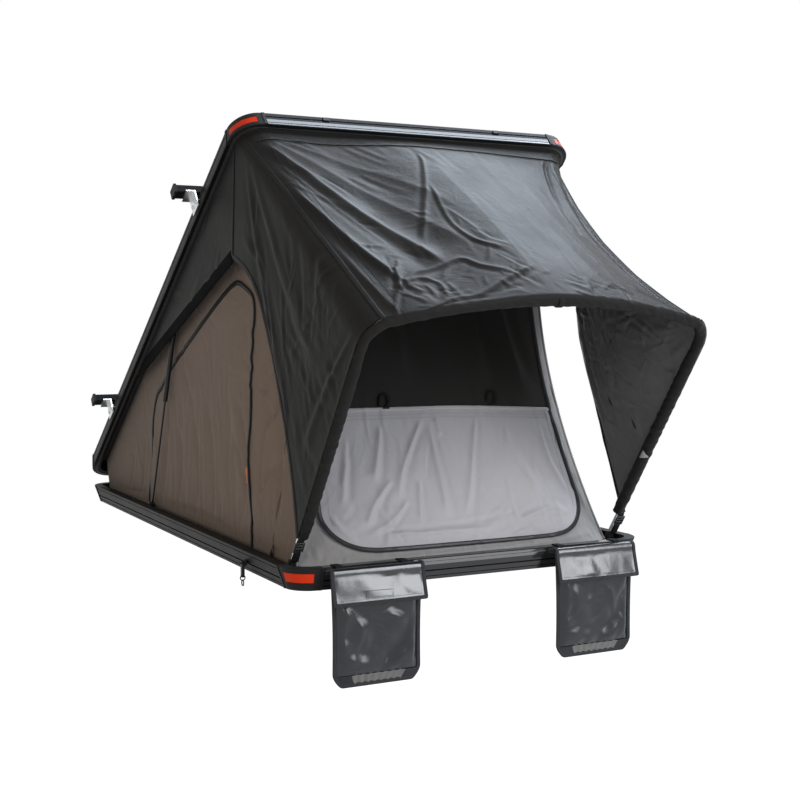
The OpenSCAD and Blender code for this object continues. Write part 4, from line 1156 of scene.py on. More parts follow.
def mirrored(points: Array) -> Array:
    """Points on the other side of the tent's middle."""
    return np.asarray(points, float) * np.array([-1.0, 1.0, 1.0])


LID_FOLD = dict(joint="lid_fold", axis=(0.0, math.sin(PLAN.open_angle), math.cos(PLAN.open_angle)),
                anchor=tuple(PLAN.lid_pt(0.0, 0.0, PLAN.lid_under).tolist()), keep=0.012)


def fold_up(pieces: Sequence[Obj]) -> None:
    """Gives each piece of one sheet its own copy of its mesh."""
    for piece in pieces:
        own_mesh(piece)


@dataclass
class Studio:
    """Camera, light and floor."""

    camera_at: tuple = (-2.118, -4.738, 0.830)
    camera_turn: tuple = (86.56, 0.0, -27.23)
    lens: float = 59.37
    floor_z: float = -1.05
    floor_half: float = 30.0

    def build(self) -> None:
        """Builds the camera, the lamps, the world and the floor."""
        scene = bpy.context.scene
        scene.view_settings.view_transform = "Standard"
        data = bpy.data.cameras.new("camera")
        data.lens, data.sensor_width = self.lens, 36.0
        camera = bpy.data.objects.new("camera", data)
        camera.location = self.camera_at
        camera.rotation_euler = [math.radians(a) for a in self.camera_turn]
        scene.collection.objects.link(camera)
        scene.camera = camera
        self.lamp("key_light", (2.3, -5.0, 2.5), (0.0, -1.1, 0.5), (2.2, 3.5), 195.0)
        self.lamp("top_light", (1.9, -0.5, 5.0), (0.0, -0.74, 1.45), (1.1, 3.2), 160.0, (0.8, 0.89, 1.0))
        self.lamp("rim_light", (2.4, 1.0, 4.2), (0.1, -1.1, 1.1), (2.4, 2.0), 190.0, (0.78, 0.88, 1.0))
        self.lamp("left_light", (-3.8, -4.4, 1.9), (0.0, -0.4, 0.5), (1.6, 2.2), 56.0, (1.0, 0.91, 0.81))
        self.world(scene)
        self.floor()

    @staticmethod
    def lamp(name: str, at: tuple, aim: tuple, size: tuple, power: float,
             colour: tuple = (0.93, 0.96, 1.0)) -> None:
        """Adds a soft box.

        Args:
            name: its name.
            at: its place.
            aim: where it looks.
            size: its width and height.
            power: its power in watts.
            colour: its light's colour.
        """
        data = bpy.data.lights.new(name, "AREA")
        data.shape, data.energy, data.color = "RECTANGLE", power, colour
        data.size, data.size_y = size
        lamp = bpy.data.objects.new(name, data)
        lamp.location = at
        lamp.rotation_euler = (Vector(aim) - Vector(at)).to_track_quat("-Z", "Y").to_euler()
        bpy.context.scene.collection.objects.link(lamp)

    @staticmethod
    def seen(g: Graph) -> Socket:
        """One where a ray comes from the camera, from gloss or from glass, and zero elsewhere."""
        path = g.add("ShaderNodeLightPath").outputs
        either = g.math("MAXIMUM", path["Is Camera Ray"], path["Is Glossy Ray"])
        return g.math("MAXIMUM", either, path["Is Transmission Ray"])

    def world(self, scene: bpy.types.Scene) -> None:
        """White where it is seen, and a plain soft light elsewhere."""
        world = bpy.data.worlds.new("studio")
        scene.world = world
        world.use_nodes = True
        g = Graph(world.node_tree)
        strength = g.math("ADD", g.math("MULTIPLY", self.seen(g), 0.75), 0.25)
        g.feed(world.node_tree.nodes["Background"], {"Color": (1.0, 1.0, 1.0, 1.0), "Strength": strength})

    def floor(self) -> None:
        """A pale floor that stays white to the camera and keeps the shadow."""
        corners = [(-1, -1), (1, -1), (1, 1), (-1, 1)]
        points = np.array([[x * self.floor_half, y * self.floor_half, self.floor_z] for x, y in corners])
        obj = mesh_object("floor", points, [[0, 1, 2, 3]])
        mat = bpy.data.materials.new("floor_white")
        mat.use_nodes = True
        g = Graph(mat.node_tree)
        plain = g.add("ShaderNodeBsdfDiffuse", {"Color": (0.9, 0.9, 0.9, 1.0)})
        glow = g.add("ShaderNodeEmission", {"Color": (1.0, 1.0, 1.0, 1.0), "Strength": 1.17})
        fac = g.math("MULTIPLY", self.seen(g), 0.82)
        both = g.add("ShaderNodeMixShader", {0: fac, 1: plain.outputs[0], 2: glow.outputs[0]})
        g.feed(mat.node_tree.nodes["Material Output"], {"Surface": both.outputs[0]})
        obj.data.materials.append(mat)


@dataclass
class Awning:
    """The awning: one sheet from the lid over the hoop, with two rear gussets, hems and seams.

    Attributes:
        across, along, side: the sheet's steps across the canopy, from the lid to the hoop, and down each side.
        rim_x, leg_x, leg_off: where the sides meet the lid's rim and the hoop's legs.
        wrap_from: the share of the run from the lid after which the canopy turns round the sleeve.
        apex_in, apex_drop, apex_x: the gussets' low point.
        bow_x, bow_up, bow_back, edge_round: the pull and the rounding of the sides' free edges.
        flat_half, flat_run: the canopy's flat half width and run.
        thick, skin_off, inner_off, right_off: the sheet's thickness, and the distances of seams and inner faces.
        lid_hem_at, clip_end: the lid hem's share of the run, and the gussets' share of the way to the clips.
        hill, dip, right_dip, right_slack: how far the canopy and the right side stand out or hang in.
    """

    across: int = 236
    along: int = 196
    side: int = 56
    rim_x: float = 0.625
    leg_x: float = 0.6005
    leg_off: float = -0.006
    wrap_from: float = 0.96
    apex_in: float = 0.334
    apex_drop: float = 0.276
    apex_x: float = 0.621
    bow_x: float = 0.6065
    bow_up: float = 0.525
    bow_back: float = 0.384
    edge_round: float = 0.066
    flat_half: float = 0.575
    flat_run: float = 1.03
    thick: float = 0.0026
    skin_off: float = 0.0006
    inner_off: float = 0.0048
    right_off: float = 0.0062
    lid_hem_at: float = 0.066
    clip_end: float = 0.985
    hill: float = 0.023
    dip: float = 0.024
    right_dip: float = 0.035
    right_slack: float = 0.062

    def apex(self) -> Array:
        """The left gusset's low point."""
        return PLAN.lid_pt(-self.apex_x, -PLAN.half_l + self.apex_in, PLAN.lid_under - self.apex_drop)

    def rim_corner(self) -> Array:
        """Where the left gusset's seam meets the lid's rim."""
        return PLAN.lid_pt(-self.rim_x, -PLAN.half_l + PLAN.corner, PLAN.lid_under - PLAN.gap)

    def left_side(self, ridge: Array) -> Array:
        """The left side's smooth surface.

        Args:
            ridge: the canopy's left edge, from the lid to the hoop.

        Returns:
            Points by the ridge's steps and then from the ridge to the free edge.
        """
        m = self.side + 1
        turn = np.linspace(0.42, 0, 8)[1:]
        r = PLAN.corner - 0.025
        x0, y0 = PLAN.half_w - PLAN.corner, -PLAN.half_l + PLAN.corner
        arc = PLAN.lid_pt(-x0 - r * np.cos(turn), y0 - r * np.sin(turn), PLAN.lid_under - PLAN.gap)
        first = even(np.vstack([ridge[:1], arc, mix(arc[-1], self.apex(), np.linspace(0.05, 1, 20))]), m)
        bend = PLAN.bend + self.leg_x - PLAN.hoop_x
        cx = PLAN.hoop_x - PLAN.bend
        k = np.linspace(math.acos(min(1.0, (PLAN.hoop_x - PLAN.bend / 2 + 0.004 - cx) / bend)), 0, 12)
        sink = np.linspace(0.001, self.leg_off, 12)
        round_bend = PLAN.hoop_pt(-cx - bend * np.cos(k), PLAN.hoop_leg + bend * np.sin(k), sink)
        leg = PLAN.hoop_pt(-self.leg_x, np.linspace(PLAN.hoop_leg - 0.02, PLAN.sleeve_from, 40), self.leg_off)
        last = even(np.vstack([ridge[-1:], round_bend[1:], leg]), m)
        t = np.linspace(0, 1, len(ridge))[:, None]
        bow = PLAN.hoop_pt(-self.bow_x, self.bow_up, self.bow_back)
        free = self.apex() * (1 - t) ** 2 + bow * 2 * t * (1 - t) + last[-1] * t ** 2
        free = free - self.edge_round / 0.0566 * t * (1 - t) ** 6 * np.array([0.0, 1.0, 0.0])
        return coons(first, last, ridge, free)

    def canopy_folds(self) -> list:
        """Folds of the canopy on its flat coordinates: across, and down from the lid."""
        lines = [
            (((-0.98, 0.05), (-0.85, 0.25), (-0.71, 0.47), (-0.57, 0.63), (-0.46, 0.78)), 0.022, 0.0105, 0.55),
            (((-1.0, 0.28), (-0.93, 0.52), (-0.87, 0.67), (-0.79, 0.83)), 0.018, 0.0095, 0.55),
            (((-0.97, 0.02), (-0.66, 0.27), (-0.42, 0.50), (-0.26, 0.70)), 0.028, 0.005, 0.3),
            (((-0.94, 0.03), (-0.52, 0.20), (-0.26, 0.36), (-0.16, 0.50)), 0.020, 0.003, 0.3),
            (((-0.96, 0.18), (-0.80, 0.47), (-0.68, 0.66)), 0.009, 0.0028, 0.4),
            (((-0.98, 0.34), (-0.91, 0.60), (-0.82, 0.78), (-0.70, 0.92)), 0.008, 0.0035, 0.4),
            (((-1.0, 0.55), (-0.97, 0.75), (-0.93, 0.97)), 0.011, 0.006, 0.5),
            (((-0.98, 1.0), (-0.86, 0.88), (-0.70, 0.80), (-0.52, 0.77), (-0.38, 0.75), (-0.31, 0.80),
              (-0.16, 0.85)), 0.008, 0.0042, 0.5),
            (((-0.90, 1.0), (-0.70, 0.956), (-0.59, 0.935), (-0.47, 0.935), (-0.27, 0.885), (-0.01, 0.82)), 0.008,
             0.0045, 0.5),
            (((-0.08, 0.10), (-0.11, 0.19), (-0.24, 0.365), (-0.36, 0.50), (-0.50, 0.65)), 0.008, 0.0042, 0.3),
            (((-0.19, 0.33), (-0.267, 0.565), (-0.217, 0.68), (-0.08, 0.745)), 0.007, 0.0035, 0.4),
            (((-0.24, 0.47), (-0.20, 0.55), (-0.14, 0.68), (-0.04, 0.72)), 0.007, 0.0028, -0.4),
            (((-0.77, 0.76), (-0.80, 0.82), (-0.84, 0.87)), 0.007, 0.006, 0.6),
            (((-0.80, 0.84), (-0.68, 0.82), (-0.60, 0.86), (-0.63, 0.93)), 0.008, 0.004, 0.5),
            (((0.88, 0.06), (0.82, 0.20), (0.76, 0.36), (0.70, 0.56)), 0.013, -0.008, 0.4),
            (((0.97, 0.10), (0.92, 0.35), (0.88, 0.62), (0.90, 0.95)), 0.018, -0.008, 0.4),
            (((0.28, 0.10), (0.33, 0.50), (0.40, 0.95)), 0.020, 0.0016, 0.4),
            (((0.52, 0.08), (0.50, 0.50), (0.56, 0.96)), 0.020, 0.0016, 0.4),
            (((0.98, 0.99), (0.80, 0.90), (0.62, 0.86)), 0.010, 0.004, 0.5),
        ]
        folds = [Fold(tuple((self.flat_half * u, self.flat_run * v) for u, v in line), w, h, lean)
                 for line, w, h, lean in lines]
        small = scatter_all(
            (11, 40, (-0.50, 0.50, -0.05, 0.99), (58.0, 40.0), (0.05, 0.16), (0.006, 0.010), (0.0006, 0.002)),
            (12, 30, (-0.5, 0.88, 0.5, 1.01), (12.0, 25.0), (0.04, 0.14), (0.005, 0.010), (0.001, 0.0028)),
            (13, 26, (0.0, 0.1, 0.52, 0.95), (84.0, 8.0), (0.14, 0.4), (0.008, 0.016), (0.0004, 0.0011)),
            (14, 16, (-0.5, 0.04, 0.0, 0.4), (52.0, 10.0), (0.12, 0.3), (0.010, 0.018), (0.0008, 0.0022)),
        )
        return folds + small

    @staticmethod
    def side_folds(hand: Side) -> list:
        """Folds of one side on its own plane: along the tent, and up."""
        seed = 31 if hand is Side.LEFT else 57
        small = scatter_all(
            (seed, 34, (-1.42, 0.42, -0.72, 1.25), (66.0, 22.0), (0.1, 0.36), (0.008, 0.018), (0.001, 0.0026)),
            (seed + 1, 26, (-1.25, 0.3, -0.85, 0.9), (75.0, 14.0), (0.12, 0.4), (0.007, 0.014), (0.001, 0.0024)),
            (seed + 2, 26, (-1.5, 0.7, -1.1, 1.0), (20.0, 40.0), (0.06, 0.18), (0.006, 0.012), (0.001, 0.0026)),
        )
        if hand is Side.RIGHT:
            pleats = (((-0.75, 1.02), (-1.09, 0.32), 0.013, 0.005), ((-0.82, 1.08), (-1.11, 0.36), 0.014, 0.006),
                      ((-0.90, 1.08), (-1.12, 0.42), 0.012, 0.005), ((-0.98, 1.05), (-1.15, 0.48), 0.015, 0.006),
                      ((-1.06, 1.02), (-1.20, 0.55), 0.013, 0.005))
        else:
            pleats = (((-0.76, 1.36), (-1.05, 0.55), 0.022, 0.0045), ((-0.80, 1.34), (-1.30, 0.66), 0.022, 0.0045),
                      ((-1.52, 0.80), (-1.16, 0.42), 0.016, 0.005))
        return small + [Crease(start, end, width, height, 0.02) for start, end, width, height in pleats]

    @staticmethod
    def slack(v: Array) -> Array:
        """How far the right ridge hangs in, from the lid to the hoop."""
        at = [0, 0.04, 0.12, 0.3, 0.5, 0.7, 0.85, 0.95, 1]
        return np.interp(v, at, [0, 0.030, 0.058, 0.078, 0.084, 0.072, 0.044, 0.014, 0])

    def wrap(self, u: Array, v: Array) -> Array:
        """How the canopy's last rows turn forwards over the hoop's sleeve and tuck in under it."""
        t = np.clip((v - self.wrap_from) / (1 - self.wrap_from), 0, 1)
        turn = t * (0.2 + 1.0 * ease((1 - np.abs(u)) / 0.1))
        r = PLAN.sleeve + PLAN.fly_gap
        far = r * (1 - 0.2 * t * t)
        down = np.array([0.0, -PLAN.fly_out[2], PLAN.fly_out[1]])
        return (far * np.cos(turn) - r)[..., None] * PLAN.fly_out + (far * np.sin(turn))[..., None] * down

    def surface(self) -> Array:
        """The whole sheet's points: from the left free edge over the canopy to the right free edge.

        Returns:
            Points, from the lid to the hoop and then across.
        """
        n = self.along + 1
        u, v = np.meshgrid(np.linspace(-1, 1, self.across + 1), np.linspace(0, 1, n), indexing="xy")
        plain = PLAN.canopy(u, np.minimum(v / self.wrap_from, 1.0)) + self.wrap(u, v)
        a, b = u * self.flat_half, v * self.flat_run
        belly = np.sin(np.pi * v)
        hill = self.hill * belly ** 0.7 * (1 - np.clip(np.abs(u + 0.05) / 0.55, 0, 1))
        dip = self.dip * belly ** 0.8 * np.exp(-((u + 0.52) / 0.26) ** 2)
        right = ease((u - 0.35) / 0.65)
        plain = plain - vec(self.slack(v) * right, 0.0, 0.0)
        lift = (hill - dip) * ease((1 - np.abs(u)) / 0.12) - self.right_dip * belly * right
        hold = ease(v / 0.05) * ease((1 - v) / 0.04) * (0.3 + 0.7 * ease((1 - np.abs(u)) / 0.05))
        lift = lift + press_all(self.canopy_folds(), a, b) * hold
        canopy = plain + lift[..., None] * PLAN.fly_out
        sides = []
        for hand in Side:
            ridge = plain[:, 0] if hand is Side.LEFT else mirrored(canopy[:, -1])
            flat = self.left_side(ridge)
            vv, ww = unit_grid(n, self.side + 1)
            hold = ease(vv / 0.08) * ease((1 - vv) / 0.06) * ease(ww / 0.06) * (0.35 + 0.65 * ease((1 - ww) / 0.05))
            out = np.maximum(press_all(self.side_folds(hand), flat[..., 1], flat[..., 2]) * hold, -0.006)
            if hand is Side.RIGHT:
                out = out - self.right_slack * ease(vv / 0.4) * np.sin(np.pi * vv) ** 0.8 * ease(ww / 0.5)
            flat = flat - vec(out, 0.0, 0.0)
            sides.append(flat[:, ::-1] if hand is Side.LEFT else mirrored(flat))
        whole = np.concatenate([sides[0][:, :-1], canopy, sides[1][:, 1:]], axis=1)
        for edge in (self.side, self.side + self.across):
            near, ahead, behind = (slice(edge - 3 + k, edge + 4 + k) for k in (0, 1, -1))
            for _ in range(4):
                whole[2:-1, near] = 0.5 * whole[2:-1, near] + 0.25 * (whole[2:-1, ahead] + whole[2:-1, behind])
        return whole

    def build(self, wear: Wardrobe) -> None:
        """Builds the sheet, its gussets, hems and seams.

        Args:
            wear: the finishes.
        """
        grid = self.surface()
        fly = lined_sheet("fly_sheet", grid, PLAN.fly_out, self.thick)
        wear.put(fly, "fly_cloth", "hoop", "fly_black", ("fly_canopy", "fly_side_left", "fly_side_right"))
        face = normals(grid)
        if face[self.along // 2, self.side + self.across // 2] @ PLAN.fly_out < 0:
            face = -face
        skin = grid + face * self.skin_off
        left, right = self.side, self.side + self.across
        rows = []
        for column in (left, right):
            ribbon = sweep(f"ridge_tape_{column}", skin[1:-1, column], face[1:-1, column], Strip.RIDGE_TAPE.section)
            rows.append(wear.put(ribbon, "fly_cloth", "hoop", "fly_black"))
        lines = [skin[2:-2, column] + face[2:-2, column] * self.skin_off
                 for column in (left + 8, left + 12, right - 8, right - 12)]
        rows.append(wear.row("ridge_stitches", lines, RIDGE_STITCH, PLAN.fly_out, "hoop", "fly_black"))
        row = max(2, round(self.lid_hem_at * self.along))
        lid_hem = sweep("fly_lid_hem", even(skin[row, left + 4:right - 3], 260), PLAN.fly_out,
                        Strip.LID_HEM.section)
        rows.append(wear.put(lid_hem, "fly_cloth", "hoop", "fly_black"))
        stitches = [skin[row + 2, left + 6:right - 5]]
        rows.append(wear.row("lid_hem_stitches", stitches, HEM_STITCH, PLAN.fly_out, "hoop", "fly_black"))
        # The inner faces wear the lighter inner finish: painted light through the cloth.
        inside = (grid - face * self.inner_off)[1:-1:2, 1:right + 2:2]
        inner = sheet_object("fly_inner_face", inside, -PLAN.fly_out, 0.0006)
        rows.append(wear.put(inner, "fly_inner", "hoop", "fly_black"))
        lining = self.right_lining((grid - face * self.right_off)[1:-1, right:-1])
        inner = sheet_object("fly_inner_right", lining, (-1.0, 0.0, 0.0), 0.0006)
        rows.append(wear.put(inner, "fly_inner", "hoop", "fly_black"))
        for hand, column in ((Side.LEFT, 0), (Side.RIGHT, grid.shape[1] - 1)):
            hem = sweep(f"fly_hem_{hand.word}", grid[:, column], face[:, column], Strip.FLY_HEM.section)
            rows.append(wear.put(hem, "fly_cloth", "hoop", "fly_black"))
        fold_up([fly] + rows)
        self.gussets(wear)
        self.keder(wear)

    @staticmethod
    def right_lining(rough: Array) -> Array:
        """The right side's inner face: more points across, with the crumpled creases that are seen from the door.

        Args:
            rough: the side's points, from the lid to the hoop and then from the ridge to the free edge.

        Returns:
            The finer points.
        """
        count = rough.shape[1]
        place = np.linspace(0, count - 1, 3 * count)
        low = np.minimum(place.astype(int), count - 2)
        k = (place - low)[None, :, None]
        fine = rough[:, low] * (1 - k) + rough[:, low + 1] * k
        creases = scatter_all(
            (61, 80, (-1.48, 0.66, -0.95, 1.04), (35.0, 55.0), (0.04, 0.15), (0.005, 0.009), (0.0012, 0.003)),
            (62, 34, (-1.25, 0.35, -0.8, 1.0), (64.0, 9.0), (0.12, 0.4), (0.007, 0.013), (0.0012, 0.003)),
            (63, 26, (-1.35, 0.45, -1.0, 0.8), (10.0, 30.0), (0.05, 0.16), (0.005, 0.009), (0.001, 0.002)),
        )
        dent = np.clip(press_all(creases, fine[..., 1], fine[..., 2]), -0.0035, 0.005)
        return fine - vec(dent, 0.0, 0.0)

    def gussets(self, wear: Wardrobe) -> None:
        """Builds the two triangles that run back along the lid to the clips.

        Args:
            wear: the finishes.
        """
        clip = PLAN.lid_pt(-self.rim_x, PLAN.clip_y, PLAN.lid_under - PLAN.gap)
        q, t = np.meshgrid(np.linspace(0, 1, 40), np.linspace(0, self.clip_end, 90), indexing="ij")
        seam = self.rim_corner() + (self.apex() - self.rim_corner()) * q[..., None]
        flat = seam + (clip - seam) * t[..., None]
        for hand, seed in ((Side.LEFT, 71), (Side.RIGHT, 83)):
            small = scatter(seed, 30, (-0.75, 0.75, 0.2, 1.3), (-28.0, 22.0), (0.08, 0.3), (0.007, 0.014),
                            (0.001, 0.0028))
            hold = ease(q / 0.12) * ease(t / 0.06) * ease((1 - t) / 0.2) * (0.3 + 0.7 * ease((1 - q) / 0.1))
            out = np.clip(press_all(small, flat[..., 1], flat[..., 2]), -0.005, 0.006) * hold
            grid = flat - vec(out, 0.0, 0.0)
            grid = grid if hand is Side.LEFT else mirrored(grid)
            away = (hand.value, 0.0, 0.0)
            piece = sheet_object(f"fly_gusset_{hand.word}", grid, away)
            wear.put(piece, "fly_cloth", "lid", "fly_black")
            # The wide near-black hem is partly the real hem and partly painted shadow under the gusset's edge.
            hem = sweep(f"gusset_hem_{hand.word}", grid[-1], away, Strip.GUSSET_HEM.section)
            tape = sweep(f"gusset_seam_{hand.word}", grid[1:, 0] + np.array(away) * 0.001, away,
                         Strip.GUSSET_SEAM.section)
            rows = [wear.put(hem, "hem_black", "lid", "fly_black"), wear.put(tape, "fly_cloth", "lid", "fly_black")]
            fold_up([piece] + rows)
            min(cloth_area(grid), 1.62 * 0.36)

    def keder(self, wear: Wardrobe) -> None:
        """Builds the piping that holds the awning along the lid's rim.

        Args:
            wear: the finishes.
        """
        r = PLAN.corner - 0.0245
        x0, y0 = PLAN.half_w - PLAN.corner, -PLAN.half_l + PLAN.corner
        turn = np.linspace(0, math.pi / 2, 24)
        straight = np.linspace(PLAN.clip_y, y0, 60)
        x = np.r_[np.full_like(straight, -x0 - r), -x0 - r * np.cos(turn)[1:]]
        y = np.r_[straight, y0 - r * np.sin(turn)[1:]]
        half = np.stack([x, y], 1)
        whole = np.vstack([half, (half * np.array([-1, 1]))[::-1]])
        path = even(PLAN.lid_pt(whole[:, 0], whole[:, 1], PLAN.lid_under - 0.003), 300)
        up = PLAN.lid_pt(0.0, 0.0, 1.0) - PLAN.lid_pt(0.0, 0.0, 0.0)
        wear.put(sweep("fly_keder", path, up, Strip.KEDER.section), "webbing", "lid", "fly_black")


@dataclass
class Hoop:
    """The hoop's soft sleeve, crown loop, foot straps and leg tab.

    Attributes:
        buckle_at, strap_x, strap_n: the buckles' place on the leg, and the straps' place across and off it.
        loop_r: the crown loop's radius.
        length, ripple, loose: the sleeve's length, its wrinkles and how much wider it is on the legs.
    """

    buckle_at: float = 0.075
    strap_x: float = 0.591
    strap_n: float = -0.0122
    loop_r: float = 0.0195
    length: float = 2.9
    ripple: float = 0.023
    loose: float = 0.15

    def build(self, wear: Wardrobe) -> None:
        """Builds the sleeve and what is on it.

        Args:
            wear: the finishes.
        """
        count, round_by = 640, 28
        path = PLAN.hoop_line(PLAN.sleeve_from, count)
        pick = np.random.RandomState(5)
        run = np.linspace(0, self.length, count)[:, None]
        turn = np.linspace(0, 2 * np.pi, round_by, endpoint=False)[None]
        scale = np.ones((count, round_by))
        for _ in range(14):
            wave, twist, shift = pick.uniform(0.03, 0.1), pick.choice([-2, -1, 1, 2, 3]), pick.uniform(0, 6.3, 2)
            patch = 0.5 + 0.5 * np.sin(run * pick.uniform(2, 9) + shift[1])
            scale += self.ripple * patch * np.sin(run * 2 * np.pi / wave + twist * turn + shift[0])
        ends = np.minimum(np.arange(count), np.arange(count)[::-1])[:, None]
        up_leg = ((path[:, 2] - PLAN.seam) / math.sin(PLAN.hoop_angle))[:, None]
        loose = 1 + self.loose * ease((PLAN.hoop_leg - up_leg) / 0.12)
        scale = np.clip(scale, 0.86, 1.12) * (0.86 + 0.14 * ease(ends / 12)) * loose
        normal = (0.0, math.sin(PLAN.hoop_angle), math.cos(PLAN.hoop_angle))
        section = rounded_section(2 * PLAN.sleeve, 2 * PLAN.sleeve, round_by, 2.2)
        sleeve = sweep("fly_sleeve", path, normal, section, scale)
        wear.put(sleeve, "fly_cloth", "hoop", "fly_black", ("hoop_sleeve",))
        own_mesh(sleeve)
        ring = np.linspace(0, 2 * np.pi, 40)
        crown, r = PLAN.bow_centre + PLAN.bow, self.loop_r
        loop = PLAN.hoop_pt(0.0, crown + r * np.cos(ring), r * np.sin(ring))
        band = sweep("crown_loop", loop, (1.0, 0.0, 0.0), Strip.CROWN_LOOP.section)
        wear.put(band, "webbing", "hoop", "webbing_black")
        self.straps(wear)
        self.tab(wear)

    def straps(self, wear: Wardrobe) -> None:
        """Builds a webbing strap with a ladder buckle at each foot.

        Args:
            wear: the finishes.
        """
        parts = {"web": [], "clip": []}
        foot = PLAN.hoop_pt(0.0, 0.0, 0.0)
        wide, up, away = (PLAN.hoop_pt(*step) - foot for step in np.eye(3))
        out = -away
        turned = [wide, up, out]
        for hand in Side:
            x = hand.value * self.strap_x
            low, high, clip = (PLAN.hoop_pt(x, s, self.strap_n) for s in (0.010, 0.088, self.buckle_at))
            end = PLAN.hoop_pt(hand.value * (self.strap_x - 0.006), 0.125, self.strap_n + 0.003)
            path = smooth_path([low, mix(low, high, 0.5) + out * 0.001, high, end], 60)
            parts["web"].append(sweep("strap", path, out, Strip.FOOT_STRAP.section))
            clip = clip + out * 0.0025
            tail = smooth_path([clip, clip - up * 0.030 + out * 0.002, clip - up * 0.056 + out * 0.001], 24)
            parts["web"].append(sweep("tail", tail, out, Strip.STRAP_TAIL.section))
            for d in (-0.016, -0.005, 0.006, 0.016):
                parts["clip"].append(block("rung", clip + up * d, turned, (0.031, 0.0045, 0.0045)))
            for d in (-0.0145, 0.0145):
                parts["clip"].append(block("rail", clip + wide * d, turned, (0.004, 0.038, 0.005)))
        wear.put(joined("foot_straps", parts["web"]), "webbing", "hoop", "webbing_black", ("hoop_straps",))
        wear.put(joined("strap_buckles", parts["clip"]), "buckle_plastic", "hoop", "cover_black")

    def tab(self, wear: Wardrobe) -> None:
        """Builds a small pale three-cornered tab on the right leg."""
        i, j = unit_grid(9, 7)
        turn, r = math.radians(226) + math.radians(70) * (i - 0.5), 0.0225
        s = 0.350 + 0.014 * i + 0.032 * j * (1 - 0.9 * i)
        grid = PLAN.hoop_pt(PLAN.hoop_x + r * np.cos(turn), s, r * np.sin(turn))
        piece = sheet_object("leg_tab", grid, (-1.0, -0.5, 0.0), 0.0012)
        wear.put(piece, "wall_grey", "hoop", "canvas_grey")


